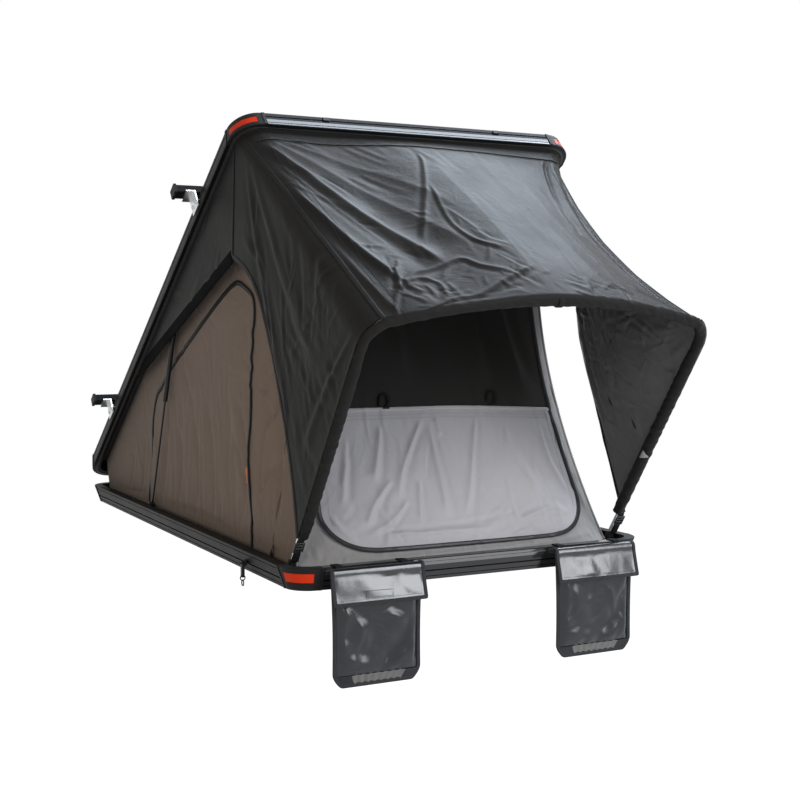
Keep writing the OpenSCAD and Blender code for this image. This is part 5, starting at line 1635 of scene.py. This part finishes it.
@dataclass
class InnerTent:
    """The fabric walls between the two shells, with the door, the side doors and their zips.

    Attributes:
        door_low, door_top, net_from: the door's lower and upper edge and its net's start, as shares of the wall.
        corner_u, corner_v: the door's lower corners.
        front_out, flat_half, flat_run: the front wall's outward direction, flat half width and run.
        sill, side_tip, seam_y: the side doors' foot and tip, and the side seam's place.
        deepest: how far the side walls' folds may go in.
    """

    door_low: float = 0.030
    door_top: float = 0.90
    net_from: float = 0.337
    corner_u: float = 0.30
    corner_v: float = 0.085
    front_out: tuple = (0.0, -0.945, 0.328)
    flat_half: float = 0.55
    flat_run: float = 1.45
    sill: float = 0.085
    side_tip: float = 0.9565
    seam_y: float = -0.848
    deepest: float = -0.022

    def build(self, wear: Wardrobe) -> None:
        """Builds the front, the sides and the rear.

        Args:
            wear: the finishes.
        """
        self.front_wall(wear)
        self.door(wear)
        for hand in Side:
            self.side_wall(wear, hand)
            self.side_door(wear, hand)
        self.rear_wall(wear)

    def front_folds(self) -> list:
        """Folds of the front wall on its flat coordinates: across, and up from the base."""
        lines = [
            (((-0.45, 0.307), (-0.49, 0.249), (-0.56, 0.169)), 0.010, 0.006),
            (((-0.43, 0.181), (-0.57, 0.126), (-0.64, 0.074)), 0.009, 0.006),
            (((-0.14, 0.319), (-0.30, 0.232), (-0.38, 0.176), (-0.41, 0.129)), 0.009, 0.006),
            (((-0.11, 0.302), (-0.11, 0.217), (-0.11, 0.139), (-0.12, 0.084)), 0.010, 0.007),
            (((0.27, 0.327), (0.17, 0.232), (0.07, 0.139), (-0.01, 0.081)), 0.009, 0.005),
            (((-0.05, 0.315), (-0.03, 0.270)), 0.007, 0.004),
            (((-0.25, 0.179), (-0.28, 0.124), (-0.30, 0.076)), 0.008, 0.005),
            (((-0.69, 0.279), (-0.73, 0.186), (-0.77, 0.116)), 0.009, 0.005),
            (((-0.34, 0.136), (-0.48, 0.089), (-0.65, 0.059)), 0.008, 0.005),
            (((0.75, 0.294), (0.75, 0.199), (0.82, 0.111)), 0.010, 0.005),
            (((0.35, 0.071), (0.64, 0.091), (0.76, 0.074)), 0.008, 0.005),
            (((-0.60, 0.061), (-0.15, 0.059), (0.27, 0.059)), 0.008, 0.005),
            (((-0.83, 0.106), (-0.77, 0.071), (-0.69, 0.049)), 0.008, 0.004),
            (((0.45, 0.315), (0.48, 0.220), (0.60, 0.120)), 0.014, 0.005),
            (((-0.36, 0.90), (-0.25, 0.62), (-0.18, 0.38)), 0.024, 0.010),
            (((0.25, 0.90), (0.36, 0.62), (0.40, 0.36)), 0.022, 0.010),
            (((0.55, 0.83), (0.62, 0.55), (0.73, 0.345)), 0.020, 0.010),
            (((-0.76, 0.83), (-0.73, 0.55), (-0.65, 0.345)), 0.020, 0.009),
            (((0.90, 0.30), (0.92, 0.20), (0.93, 0.10)), 0.008, 0.006),
            (((-0.95, 0.022), (-0.40, 0.012), (0.30, 0.014), (0.95, 0.024)), 0.008, 0.005),
        ]
        big = [Fold(tuple((self.flat_half * u, self.flat_run * v) for u, v in line), 1.15 * w, 1.6 * h, 0.5, 0.22)
               for line, w, h in lines]
        small = scatter_all(
            (91, 40, (-0.45, 0.05, 0.45, 0.5), (82.0, 16.0), (0.06, 0.25), (0.006, 0.011), (0.0008, 0.0026)),
            (92, 22, (-0.48, 0.04, 0.48, 0.13), (5.0, 14.0), (0.05, 0.2), (0.006, 0.010), (0.001, 0.003)),
            (93, 64, (-0.54, 0.006, 0.54, 0.042), (78.0, 28.0), (0.02, 0.055), (0.004, 0.008), (0.001, 0.0028)),
            (94, 26, (0.47, 0.06, 0.54, 0.5), (82.0, 16.0), (0.05, 0.16), (0.005, 0.009), (0.001, 0.0028)),
        )
        return big + small

    def front_lift(self, u: Array, v: Array) -> Array:
        """How far the front wall stands out at each place."""
        out = press_all(self.front_folds(), u * self.flat_half, v * self.flat_run)
        return out * ease(v / 0.010) * ease((1 - v) / 0.05) * ease((1 - np.abs(u)) / 0.06)

    def front_at(self, u: Array, v: Array, off: float) -> Array:
        """Points on the front wall, off its surface by a distance."""
        return PLAN.front(u, v) + (self.front_lift(u, v) + off)[..., None] * np.array(self.front_out)

    def door_half(self, v) -> Array:
        """The door's half width, as a share of the wall's, at a height."""
        v = np.asarray(v, float)
        k = np.clip((self.door_low + self.corner_v - v) / self.corner_v, 0, 1)
        top = np.clip((v - self.door_top + 0.06) / 0.06, 0, 1)
        foot, head = 1 - np.sqrt(1 - k * k), 1 - np.sqrt(1 - top * top)
        return 0.882 + 0.03 * np.clip(v / 0.5, 0, 1) - self.corner_u * foot - 0.1 * head

    def front_wall(self, wear: Wardrobe) -> None:
        """Builds the wall round the door.

        Args:
            wear: the finishes.
        """
        u, v = np.meshgrid(np.linspace(-1, 1, 201), np.linspace(0, 1, 131) ** 1.5, indexing="ij")
        grid = self.front_at(u, v, 0.0)
        wall = sheet_object("door_wall", grid, self.front_out)
        wear.put(wall, "wall_grey", "base", "canvas_grey", ("front_wall",))
        piping = []
        for hand in Side:
            edge = grid[0 if hand is Side.LEFT else -1] + np.array([hand.value * 0.002, -0.001, 0.0])
            roll = sweep(f"corner_piping_{hand.word}", edge, (hand.value, -1, 0), Strip.CORNER_PIPING.section)
            piping.append(wear.put(roll, "wall_grey", "base", "canvas_grey"))
        fold_up([wall] + piping)

    def door(self, wear: Wardrobe) -> None:
        """Builds the pale lower panel, the dark net above it, the zip round both and the ties.

        Args:
            wear: the finishes.
        """
        def panel(off: float, across: int, up: int, net: bool) -> Array:
            """Points of one half of the door, off the wall by a distance."""
            s, t = unit_grid(across, up, -1)
            hem = self.net_from - 0.016 * np.clip(s, 0, 1) ** 1.5
            low, high = (hem - 0.006, self.door_top) if net else (self.door_low, hem)
            v = low + (high - low) * t
            return self.front_at(s * self.door_half(v), v, off)

        pale, net = panel(0.004, 201, 110, False), panel(0.0026, 121, 90, True)
        low = sheet_object("door_panel_low", pale, self.front_out)
        high = sheet_object("door_net_panel", net, self.front_out)
        wear.put(low, "door_pale", "base", "canvas_grey", ("door_panel",))
        wear.put(high, "door_net", "base", "fly_black")
        v = np.linspace(self.door_top, self.door_low, 260)
        left, right = (self.front_at(k * self.door_half(v), v, 0.005) for k in (-1, 1))
        foot_u = np.linspace(-self.door_half(self.door_low), self.door_half(self.door_low), 120)
        foot = self.front_at(foot_u, np.full_like(foot_u, self.door_low), 0.005)
        line = smoothed(even(np.vstack([left, foot[1:-1], right[::-1]]), 620), 4)
        out = np.array(self.front_out)
        tape = sweep("door_zip_tape", line, out, Strip.DOOR_ZIP.section)
        rows = [wear.put(tape, "binding_grey", "base", "webbing_black")]
        teeth = [line + out * 0.0029]
        rows.append(wear.row("door_zip_teeth", teeth, DOOR_TEETH, self.front_out, "base", "webbing_black"))
        hem = sweep("door_panel_hem", pale[:, -1] + out * 0.0012, out, Strip.DOOR_HEM.section)
        rows.append(wear.put(hem, "door_pale", "base", "canvas_grey"))
        near = pale + out * 0.0008
        stitch = [near[:, -6], near[:, -9], near[6, 20:-2], near[-7, 20:-2]]
        rows.append(wear.row("door_stitches", stitch, DOOR_STITCH, self.front_out, "base", "canvas_grey"))
        ties = self.ties(wear)
        fold_up([low, high, ties] + rows)
        min(cloth_area(pale), 0.45)
        min(cloth_area(net), 1.02 * 0.86)

    def ties(self, wear: Wardrobe) -> Obj:
        """Builds two webbing ties with toggles, which hold the door when it is rolled up.

        Args:
            wear: the finishes.

        Returns:
            The ties, joined into one piece.
        """
        parts = []
        out = np.array(self.front_out)
        side, up = np.array([1.0, 0, 0]), np.array([0, 0.328, 0.945])
        for u in (-0.40, 0.41):
            top = self.front_at(np.array([u]), np.array([0.372]), 0.008)[0]
            loop = smooth_path([top, top + side * 0.016 - up * 0.008 + out * 0.006,
                                top + side * 0.018 - up * 0.030 + out * 0.006,
                                top + side * 0.004 - up * 0.048 + out * 0.004], 30)
            other = smooth_path([top, top - side * 0.012 - up * 0.018 + out * 0.004,
                                 top - side * 0.016 - up * 0.040 + out * 0.003], 24)
            parts += [sweep("tie", line, out, Strip.DOOR_TIE.section) for line in (loop, other)]
            parts.append(block("toggle", loop[-1], [side, up, out], (0.026, 0.008, 0.007), 0.003))
        return wear.put(joined("door_ties", parts), "webbing", "base", "webbing_black")

    @staticmethod
    def side_folds(seed: int) -> list:
        """Folds of one side wall on its own plane: along the tent, and up."""
        small = scatter_all(
            (seed, 40, (-0.95, 0.12, 0.9, 0.9), (84.0, 14.0), (0.1, 0.35), (0.009, 0.018), (0.0015, 0.004)),
            (seed + 1, 26, (-0.62, 0.1, 0.42, 0.5), (86.0, 10.0), (0.15, 0.4), (0.010, 0.020), (0.0015, 0.0042)),
            (seed + 2, 54, (-1.0, 0.11, -0.56, 0.85), (74.0, 34.0), (0.06, 0.22), (0.009, 0.015), (0.002, 0.0058)),
            (seed + 3, 22, (-0.95, 0.085, 0.85, 0.13), (78.0, 20.0), (0.03, 0.07), (0.006, 0.010), (0.001, 0.003)),
        )
        lines = [
            (((-0.50, 0.12), (-0.44, 0.32), (-0.46, 0.60)), 0.030, -0.009),
            (((-0.30, 0.10), (-0.28, 0.34), (-0.22, 0.58)), 0.028, -0.010),
            (((-0.10, 0.10), (-0.12, 0.30), (-0.06, 0.52)), 0.026, -0.009),
            (((0.12, 0.10), (0.08, 0.28), (0.10, 0.46)), 0.028, -0.009),
            (((0.32, 0.10), (0.28, 0.26), (0.24, 0.42)), 0.024, -0.008),
            (((-0.58, 0.12), (-0.62, 0.34), (-0.56, 0.58), (-0.62, 0.80)), 0.020, -0.010),
            (((-0.64, 0.20), (-0.56, 0.36), (-0.48, 0.46)), 0.016, -0.011),
            (((-0.64, 0.36), (-0.57, 0.50), (-0.50, 0.58)), 0.015, -0.010),
            (((-0.88, 0.12), (-0.83, 0.45), (-0.80, 0.85)), 0.022, -0.013),
            (((-0.77, 0.10), (-0.72, 0.34), (-0.75, 0.62)), 0.016, -0.010),
            (((-0.98, 0.13), (-0.95, 0.36), (-0.90, 0.62)), 0.018, -0.013),
            (((-0.70, 0.22), (-0.78, 0.34), (-0.84, 0.40)), 0.014, -0.010),
            (((-0.70, 0.44), (-0.78, 0.55), (-0.82, 0.68)), 0.014, -0.010),
            (((0.62, 0.10), (0.58, 0.24), (0.55, 0.38)), 0.022, -0.008),
            (((0.80, 0.10), (0.74, 0.20), (0.72, 0.30)), 0.020, -0.006),
            (((0.50, 0.12), (0.46, 0.26), (0.42, 0.44)), 0.014, -0.007),
            (((0.92, 0.09), (0.60, 0.12), (0.52, 0.10)), 0.014, -0.005),
            (((-0.60, 0.10), (-0.20, 0.13), (0.40, 0.11)), 0.012, -0.004),
        ]
        return small + [Fold(line, 0.8 * w, 1.3 * h, 0.4, 0.3) for line, w, h in lines]

    def side_lift(self, hand: Side, y: Array, z: Array) -> Array:
        """How far a side wall stands out, kept clear of the strut."""
        most = 0.0035 + 0.0045 * ease((-0.50 - y) / 0.10)
        out = np.clip(press_all(self.side_folds(101 if hand is Side.LEFT else 131), y, z), self.deepest, most)
        return out * ease((z - PLAN.shelf) / 0.04)

    def side_place(self, y: Array, z: Array) -> Array:
        """Points of the left wall's smooth surface at places along and up."""
        front, rear = -PLAN.half_l + PLAN.foot_corner, PLAN.half_l - PLAN.foot_rear
        u = (np.asarray(y, float) - front) / (rear - front)
        for _ in range(30):
            high = PLAN.side(u, np.ones_like(u))[..., 2]
            v = np.clip((z - PLAN.shelf - PLAN.gap) / np.maximum(high - PLAN.shelf - PLAN.gap, 1e-3), 0, 1)
            u = np.clip(u + 0.4 * (y - PLAN.side(u, v)[..., 1]), 0, 1)
        return PLAN.side(u, v)

    def side_wall(self, wear: Wardrobe, hand: Side) -> None:
        """Builds one side wall with its front seam.

        Args:
            wear: the finishes.
            hand: the side.
        """
        u, v = unit_grid(281, 131)
        flat = PLAN.side(u, v)
        hold = ease(u / 0.03) * ease((1 - v) / 0.06) * ease((1 - u) / 0.05)
        grid = flat - vec(self.side_lift(hand, flat[..., 1], flat[..., 2]) * hold, 0.0, 0.0)
        grid = grid if hand is Side.LEFT else mirrored(grid)
        away = (float(hand.value), 0.0, 0.0)
        wall = sheet_object(f"side_cloth_{hand.word}", grid, away)
        wear.put(wall, "wall_taupe", "base", "canvas_taupe", (f"side_wall_{hand.word}",))
        z = np.linspace(self.sill, 0.60, 60)
        seam = self.on_side(hand, np.full_like(z, self.seam_y), z, 0.0006)
        band = sweep(f"side_seam_{hand.word}", seam, away, Strip.SIDE_SEAM.section)
        rows = [wear.put(band, "wall_taupe", "base", "canvas_taupe")]
        fold_up([wall] + rows)
        min(cloth_area(grid), 2.3 * 1.5)

    def on_side(self, hand: Side, y: Array, z: Array, off: float) -> Array:
        """Points on one side wall's folded surface, off it by a distance."""
        flat = self.side_place(y, z)
        p = flat - vec(self.side_lift(hand, flat[..., 1], flat[..., 2]) + off, 0.0, 0.0)
        return p if hand is Side.LEFT else mirrored(p)

    def side_door(self, wear: Wardrobe, hand: Side) -> None:
        """Builds one side door's panel with its zip, tab and ground loop.

        Args:
            wear: the finishes.
            hand: the side.
        """
        def spot(y: float, z: float, off: float) -> Array:
            """One place on the wall, off it by a distance."""
            return self.on_side(hand, np.array([y]), np.array([z]), off)[0]

        rear = np.array([(0.493, 0.085), (0.452, 0.326), (0.433, 0.410), (0.376, 0.523), (0.289, 0.577),
                         (0.185, 0.643), (-0.145, 0.797), (-0.438, 0.927), (-0.49, 0.948), (-0.53, 0.957)])
        front = np.array([(-0.678, 0.085), (-0.660, 0.229), (-0.649, 0.337), (-0.641, 0.440), (-0.636, 0.539),
                          (-0.631, 0.649), (-0.630, 0.755), (-0.633, 0.852), (-0.621, 0.909), (-0.577, 0.941),
                          (-0.53, 0.957)])
        z = self.sill + (self.side_tip - self.sill) * np.sin(np.linspace(0, 1, 130) * math.pi / 2)
        rear_s, front_s = smooth_path(rear, 300), smooth_path(front, 300)
        y_r, y_f = np.interp(z, rear_s[:, 1], rear_s[:, 0]), np.interp(z, front_s[:, 1], front_s[:, 0])
        s = np.linspace(0, 1, 160)[:, None]
        y = y_f[None] + (y_r - y_f)[None] * s
        grid = self.on_side(hand, y, np.broadcast_to(z[None], y.shape), 0.0022)
        away = (float(hand.value), 0.0, 0.0)
        panel = sheet_object(f"side_door_{hand.word}", grid, away)
        wear.put(panel, "wall_taupe", "base", "canvas_taupe", (f"window_panel_{hand.word}",))
        track = smooth_path(np.vstack([rear, front[-2::-1]]), 460)
        line = self.on_side(hand, track[:, 0], track[:, 1], 0.0035)
        tape = sweep(f"side_zip_tape_{hand.word}", line, away, Strip.SIDE_ZIP.section)
        rows = [wear.put(tape, "webbing", "base", "webbing_black")]
        out = np.array(away)
        teeth = [line + out * 0.0024]
        rows.append(wear.row(f"side_zip_teeth_{hand.word}", teeth, SIDE_TEETH, away, "base", "webbing_black"))
        at = spot(-0.637, 0.319, 0.007)
        tab = np.array([[at + np.array([0, 0.007 * a, 0.027 * b]) + out * (0.002 * math.sin(3 * b))
                         for b in np.linspace(-1, 1, 9)] for a in np.linspace(-1, 1, 5)])
        mark = sheet_object(f"side_tab_{hand.word}", tab, away, 0.0014)
        rows.append(wear.put(mark, "tab_orange", "base", "reflector_red"))
        places = ((-0.858, 0.118, 0.003), (-0.872, 0.104, 0.014), (-0.862, 0.086, 0.012), (-0.845, 0.092, 0.003))
        loop = smooth_path([spot(*place) for place in places], 30)
        ground = sweep(f"ground_loop_{hand.word}", loop, away, Strip.GROUND_LOOP.section)
        rows.append(wear.put(ground, "webbing", "base", "webbing_black"))
        fold_up([panel] + rows)

    def rear_wall(self, wear: Wardrobe) -> None:
        """Builds the low rear wall.

        Args:
            wear: the finishes.
        """
        u, v = unit_grid(81, 13, -1)
        x = u * PLAN.wall_half
        low = vec(x, PLAN.half_l - PLAN.foot_rear, PLAN.shelf + PLAN.gap)
        high = PLAN.lid_pt(x, PLAN.half_l - PLAN.wall_rear, PLAN.roof - PLAN.roof_gap)
        grid = low + (high - low) * v[..., None] + vec(0.0, 0.004 * np.sin(np.pi * v) * np.sin(9 * u), 0.0)
        wall = sheet_object("rear_cloth", grid, (0.0, 1.0, 0.0))
        wear.put(wall, "wall_taupe", "base", "canvas_taupe", ("rear_wall",))
        fold_up([wall])


@dataclass
class ShoeBag:
    """One shoe bag that hangs over the front rim: pouch, flap, bindings, drain net and corner patches.

    Attributes:
        hand, middle: the bag's side and its place across.
        width, low, top, back, depth: the pouch's width, its lower and upper edge, its back and its depth.
        cut: how far its lower corners are cut.
        flap_low, flap_tip: the flap's lower edge, and how far it stands off there.
    """

    hand: Side
    middle: float
    width: float = 0.296
    low: float = -0.262
    top: float = 0.091
    back: float = -1.191
    depth: float = 0.030
    cut: float = 0.024
    flap_low: float = -0.010
    flap_tip: float = 0.019

    def half(self, z) -> Array:
        """The pouch's half width at a height, with its cut lower corners."""
        z = np.asarray(z, float)
        corner = np.clip((self.low + self.cut * 1.5 - z) / (self.cut * 1.5), 0, 1)
        waist = 0.004 * np.sin(np.pi * np.clip((z - self.low) / (self.top - self.low), 0, 1))
        taper = 0.006 * np.clip((self.top - z) / (self.top - self.low), 0, 1)
        return self.width / 2 - self.cut * corner ** 1.6 - waist - taper

    def folds(self) -> list:
        """Dents and creases of the glossy sheet: across, and up."""
        seed = 151 if self.hand is Side.LEFT else 171
        small = scatter(seed, 22, (-0.14, -0.24, 0.14, -0.02), (62.0, 44.0), (0.06, 0.17), (0.010, 0.020),
                        (0.001, 0.0026))
        return small + [
            Crease((-0.15, -0.01), (-0.02, -0.15), 0.024, 0.0065, 0.012, 0.4),
            Crease((0.13, -0.03), (0.03, -0.2), 0.030, -0.0065, 0.01, 0.4),
            Crease((-0.15, -0.18), (0.02, -0.24), 0.020, 0.0055, 0.012, 0.4),
            Crease((0.01, -0.24), (0.14, -0.14), 0.020, 0.005, 0.0, 0.4),
            Crease((-0.15, -0.08), (-0.05, -0.22), 0.018, 0.0045, -0.01, 0.4),
            Crease((0.00, -0.03), (0.12, -0.13), 0.020, 0.0045, 0.01, 0.4),
            Crease((-0.06, -0.09), (0.05, -0.21), 0.022, -0.0055, 0.01, 0.4),
        ]

    def front_face(self, x: Array, z: Array, edge: Array) -> Array:
        """The pouch's front: a shell that swells low down and sags between its bindings."""
        t = np.clip((z - self.low) / (self.top - self.low), 0, 1)
        fill = ease(edge / 0.35) * (0.45 + 0.55 * np.sin(np.pi * np.clip(1.05 - t, 0, 1)) ** 0.6)
        crease = press_all(self.folds(), x, z) * ease(edge / 0.3)
        return self.back - 0.011 - (self.depth - 0.013) * fill - crease

    def build(self, wear: Wardrobe) -> None:
        """Builds the bag's pieces.

        Args:
            wear: the finishes.
        """
        body, cover, word = f"bag_{self.hand.word}", f"bag_{self.hand.word}_cover", self.hand.word
        s, t = unit_grid(81, 91, -1)
        z = self.low + (self.top - 0.012 - self.low) * t
        x = s * self.half(z)
        edge = np.minimum(np.minimum((1 - np.abs(s)) * 1.6, t * 2.2), 1.0)
        front = vec(self.middle + x, self.front_face(x, z, edge), z)
        rear = vec(self.middle + x, np.full_like(x, self.back - 0.002) - 0.001 * edge, z)
        n, m = s.shape
        points = np.vstack([front.reshape(-1, 3), rear.reshape(-1, 3)])
        faces = grid_faces(n, m, False) + [[v + n * m for v in f[::-1]] for f in grid_faces(n, m, False)]
        rim = [*range(m - 1, 0, -1), *range(0, n * m, m), *range((n - 1) * m + 1, n * m)]
        faces += [[a, b, b + n * m, a + n * m] for a, b in zip(rim[:-1], rim[1:])]
        uv = np.stack([x, z], -1).reshape(-1, 2)
        pouch = mesh_object(f"bag_shell_{word}", points, faces, np.vstack([uv, uv]))
        outward_faces(pouch)
        wear.put(pouch, "bag_sheet", body, "bag_black", (f"bag_pouch_{word}",))
        outline = np.vstack([front[0, ::-1], front[1:-1, 0], front[-1, :]])
        outline = smoothed(even(outline + np.array([0, -0.001, 0]), 320), 3)
        binding = sweep(f"bag_binding_{word}", outline, (0, -1, 0), Strip.BAG_BINDING.section)
        wear.put(binding, "binding_grey", body, "bag_black")
        self.net(wear, front, body)
        self.flap(wear, cover)

    def net(self, wear: Wardrobe, front: Array, body: str) -> None:
        """Builds the drain net along the pouch's lower edge, with a corner patch at each end.

        Args:
            wear: the finishes.
            front: the pouch's front, across and then up.
            body: the CAD body that they move with.
        """
        word = self.hand.word
        low = front[:, :9] + np.array([0, -0.0022, 0])
        middle = low[14:-14]
        wave = 0.0016 * np.sin(np.linspace(0, 46, middle.shape[0]))[:, None] * np.ones((1, middle.shape[1]))
        strip = sheet_object(f"bag_net_{word}", middle - vec(0.0, wave, 0.0), (0, -1, 0), 0.0008)
        wear.put(strip, "bag_net", body, "canvas_grey")
        for name, part in (("a", low[:16]), ("b", low[-16:])):
            patch = sheet_object(f"bag_patch_{name}_{word}", part + np.array([0, -0.0008, 0]), (0, -1, 0), 0.001)
            wear.put(patch, "binding_grey", body, "bag_black")
            min(cloth_area(part), 0.06 * 0.045)

    def flap(self, wear: Wardrobe, cover: str) -> None:
        """Builds the flap with its binding and stitching.

        Args:
            wear: the finishes.
            cover: the CAD body that it moves with.
        """
        word = self.hand.word
        turn = ((0.0, 0.0025), (-0.010, 0.003), (-0.018, -0.001), (-0.0225, -0.010), (-0.0266, -0.034))
        edge = smooth_path([(self.back + y, self.top + z) for y, z in turn]
                           + [(self.back - 0.026 - self.flap_tip, self.flap_low)], 70)
        run = run_of(edge)
        ss, rr = np.meshgrid(np.linspace(-1, 1, 81), run, indexing="ij")
        x = ss * (self.width / 2 + 0.004)
        seed = 191 if self.hand is Side.LEFT else 211
        small = scatter(seed, 7, (-0.14, 0.04, 0.14, 0.13), (25.0, 40.0), (0.08, 0.2), (0.022, 0.04),
                        (0.0006, 0.002))
        hold = ease((rr - 0.035) / 0.02) * ease((run[-1] - rr) / 0.02) * ease((1 - np.abs(ss)) / 0.1)
        belly = 0.0025 * np.sin(np.pi * (ss + 1) / 2) * ease((rr - 0.04) / 0.05)
        lift = np.clip(press_all(small, x, rr), -0.002, 0.004) * hold + belly
        y, z = (np.broadcast_to(edge[:, k], x.shape) for k in range(2))
        grid = vec(self.middle + x, y - lift, z)
        piece = sheet_object(f"bag_cover_{word}", grid, (0, -1, 0.3), 0.0016)
        # The flap's finish reflects more strongly than the pouch's: a painted sheen.
        wear.put(piece, "flap_sheet", cover, "bag_black", (f"bag_flap_{word}",))
        rim = np.vstack([grid[0], grid[1:-1, -1], grid[-1, ::-1]])
        up = np.zeros_like(rim)
        up[:, 1], up[:, 2] = -1.0, 0.25
        up[:20, 1:] = up[-20:, 1:] = (0.0, 1.0)
        at = np.linspace(0, 1, 300)
        up = np.stack([np.interp(at, np.linspace(0, 1, len(rim)), up[:, k]) for k in range(3)], 1)
        binding = sweep(f"cover_binding_{word}", even(rim, 300), up, Strip.FLAP_BINDING.section)
        trim = [wear.put(binding, "binding_grey", cover, "bag_black")]
        rows = [grid[4:-4, -8] + np.array([0, -0.0006, 0])]
        if self.hand is Side.LEFT:
            box = [(-0.045, -0.012), (0.045, -0.012), (0.045, 0.008), (-0.045, 0.008), (-0.045, -0.012)]
            y = float(grid[40, -10, 1]) - 0.0012
            rows.append(even(np.array([[self.middle + a - 0.005, y, b + 0.018] for a, b in box]), 120))
        trim.append(wear.row(f"cover_stitches_{word}", rows, FLAP_STITCH, (0, -1, 0), cover, "bag_black"))


@dataclass
class Fittings:
    """Soft pieces of the shells: hang straps, mattress and lining.

    Attributes:
        bags: the middles of the two pairs of hang straps.
        mattress_z: the level that the mattress lies on.
    """

    bags: tuple = (-0.385, 0.410)
    mattress_z: float = 0.040

    def build(self, wear: Wardrobe) -> None:
        """Builds the straps, the mattress and the lining.

        Args:
            wear: the finishes.
        """
        yz = smooth_path([(-1.1895, 0.080), (-1.1895, 0.0935), (-1.1865, 0.0985), (-1.178, 0.0990),
                          (-1.152, 0.0990), (-1.1478, 0.0965), (-1.1468, 0.084)], 40)
        along = np.gradient(yz, axis=0)
        up = np.column_stack([np.zeros(len(yz)), -along[:, 1], along[:, 0]])
        straps = []
        for middle in self.bags:
            for side in (-0.11, 0.11):
                path = np.column_stack([np.full(len(yz), middle + side), yz])
                straps.append(sweep("hang", path, up, Strip.HANG_STRAP.section))
        wear.put(joined("bag_straps", straps), "webbing", "base", "webbing_black", ("bag_hang_straps",))
        pad = self.cushion("mattress_pad", half_x=0.55, half_y=1.048, r=0.04, z=self.mattress_z, thick=0.058,
                           on_lid=False)
        wear.put(pad, "mattress_cover", "base", "mattress_grey", ("mattress",))
        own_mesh(pad)
        lining = self.cushion("lining_pad", half_x=0.555, half_y=1.088, r=0.04, z=0.1367, thick=0.010, on_lid=True)
        wear.put(lining, "lining_felt", "lid", "lining_grey", ("roof_lining",))

    @staticmethod
    def cushion(name: str, half_x: float, half_y: float, r: float, z: float, thick: float, on_lid: bool) -> Obj:
        """A crowned pad with rounded corners.

        Args:
            name: the object's name.
            half_x: half its width.
            half_y: half its length.
            r: its corners' radius.
            z: its lowest level.
            thick: its thickness.
            on_lid: whether its place is in the opened lid.

        Returns:
            The pad.
        """
        round_by = 160
        a = np.linspace(0, 2 * np.pi, round_by, endpoint=False)
        c, s = np.cos(a), np.sin(a)
        box = np.stack([np.sign(c) * (half_x - r) + r * c, np.sign(s) * (half_y - r) + r * s], 1)
        rings = [(0.0, 0.0), (0.6, 0.0), (0.93, 0.0), (0.985, 0.06), (0.997, 0.25), (1.0, 0.5), (0.997, 0.75),
                 (0.985, 0.94), (0.95, 0.985), (0.85, 0.995), (0.6, 1.0), (0.3, 1.0), (0.0, 1.0)]
        flat = np.vstack([np.column_stack([box * max(k, 1e-4), np.full(round_by, z + h * thick)]) for k,
                          h in rings])
        points = PLAN.lid_pt(flat[:, 0], flat[:, 1], flat[:, 2]) if on_lid else flat
        obj = mesh_object(name, points, grid_faces(len(rings), round_by, False, wrap=True), flat[:, :2])
        outward_faces(obj)
        return obj


def main() -> None:
    """Builds the tent's pieces in order and reports each one."""
    logging.basicConfig(level=logging.INFO, format="%(name)s: %(message)s")
    Studio().build()
    wear = Wardrobe()
    wear.dress_cad()
    Awning().build(wear)
    Hoop().build(wear)
    InnerTent().build(wear)
    ShoeBag(Side.LEFT, middle=-0.377).build(wear)
    ShoeBag(Side.RIGHT, middle=0.420).build(wear)
    Fittings().build(wear)


if __name__ == "__main__":
    main()
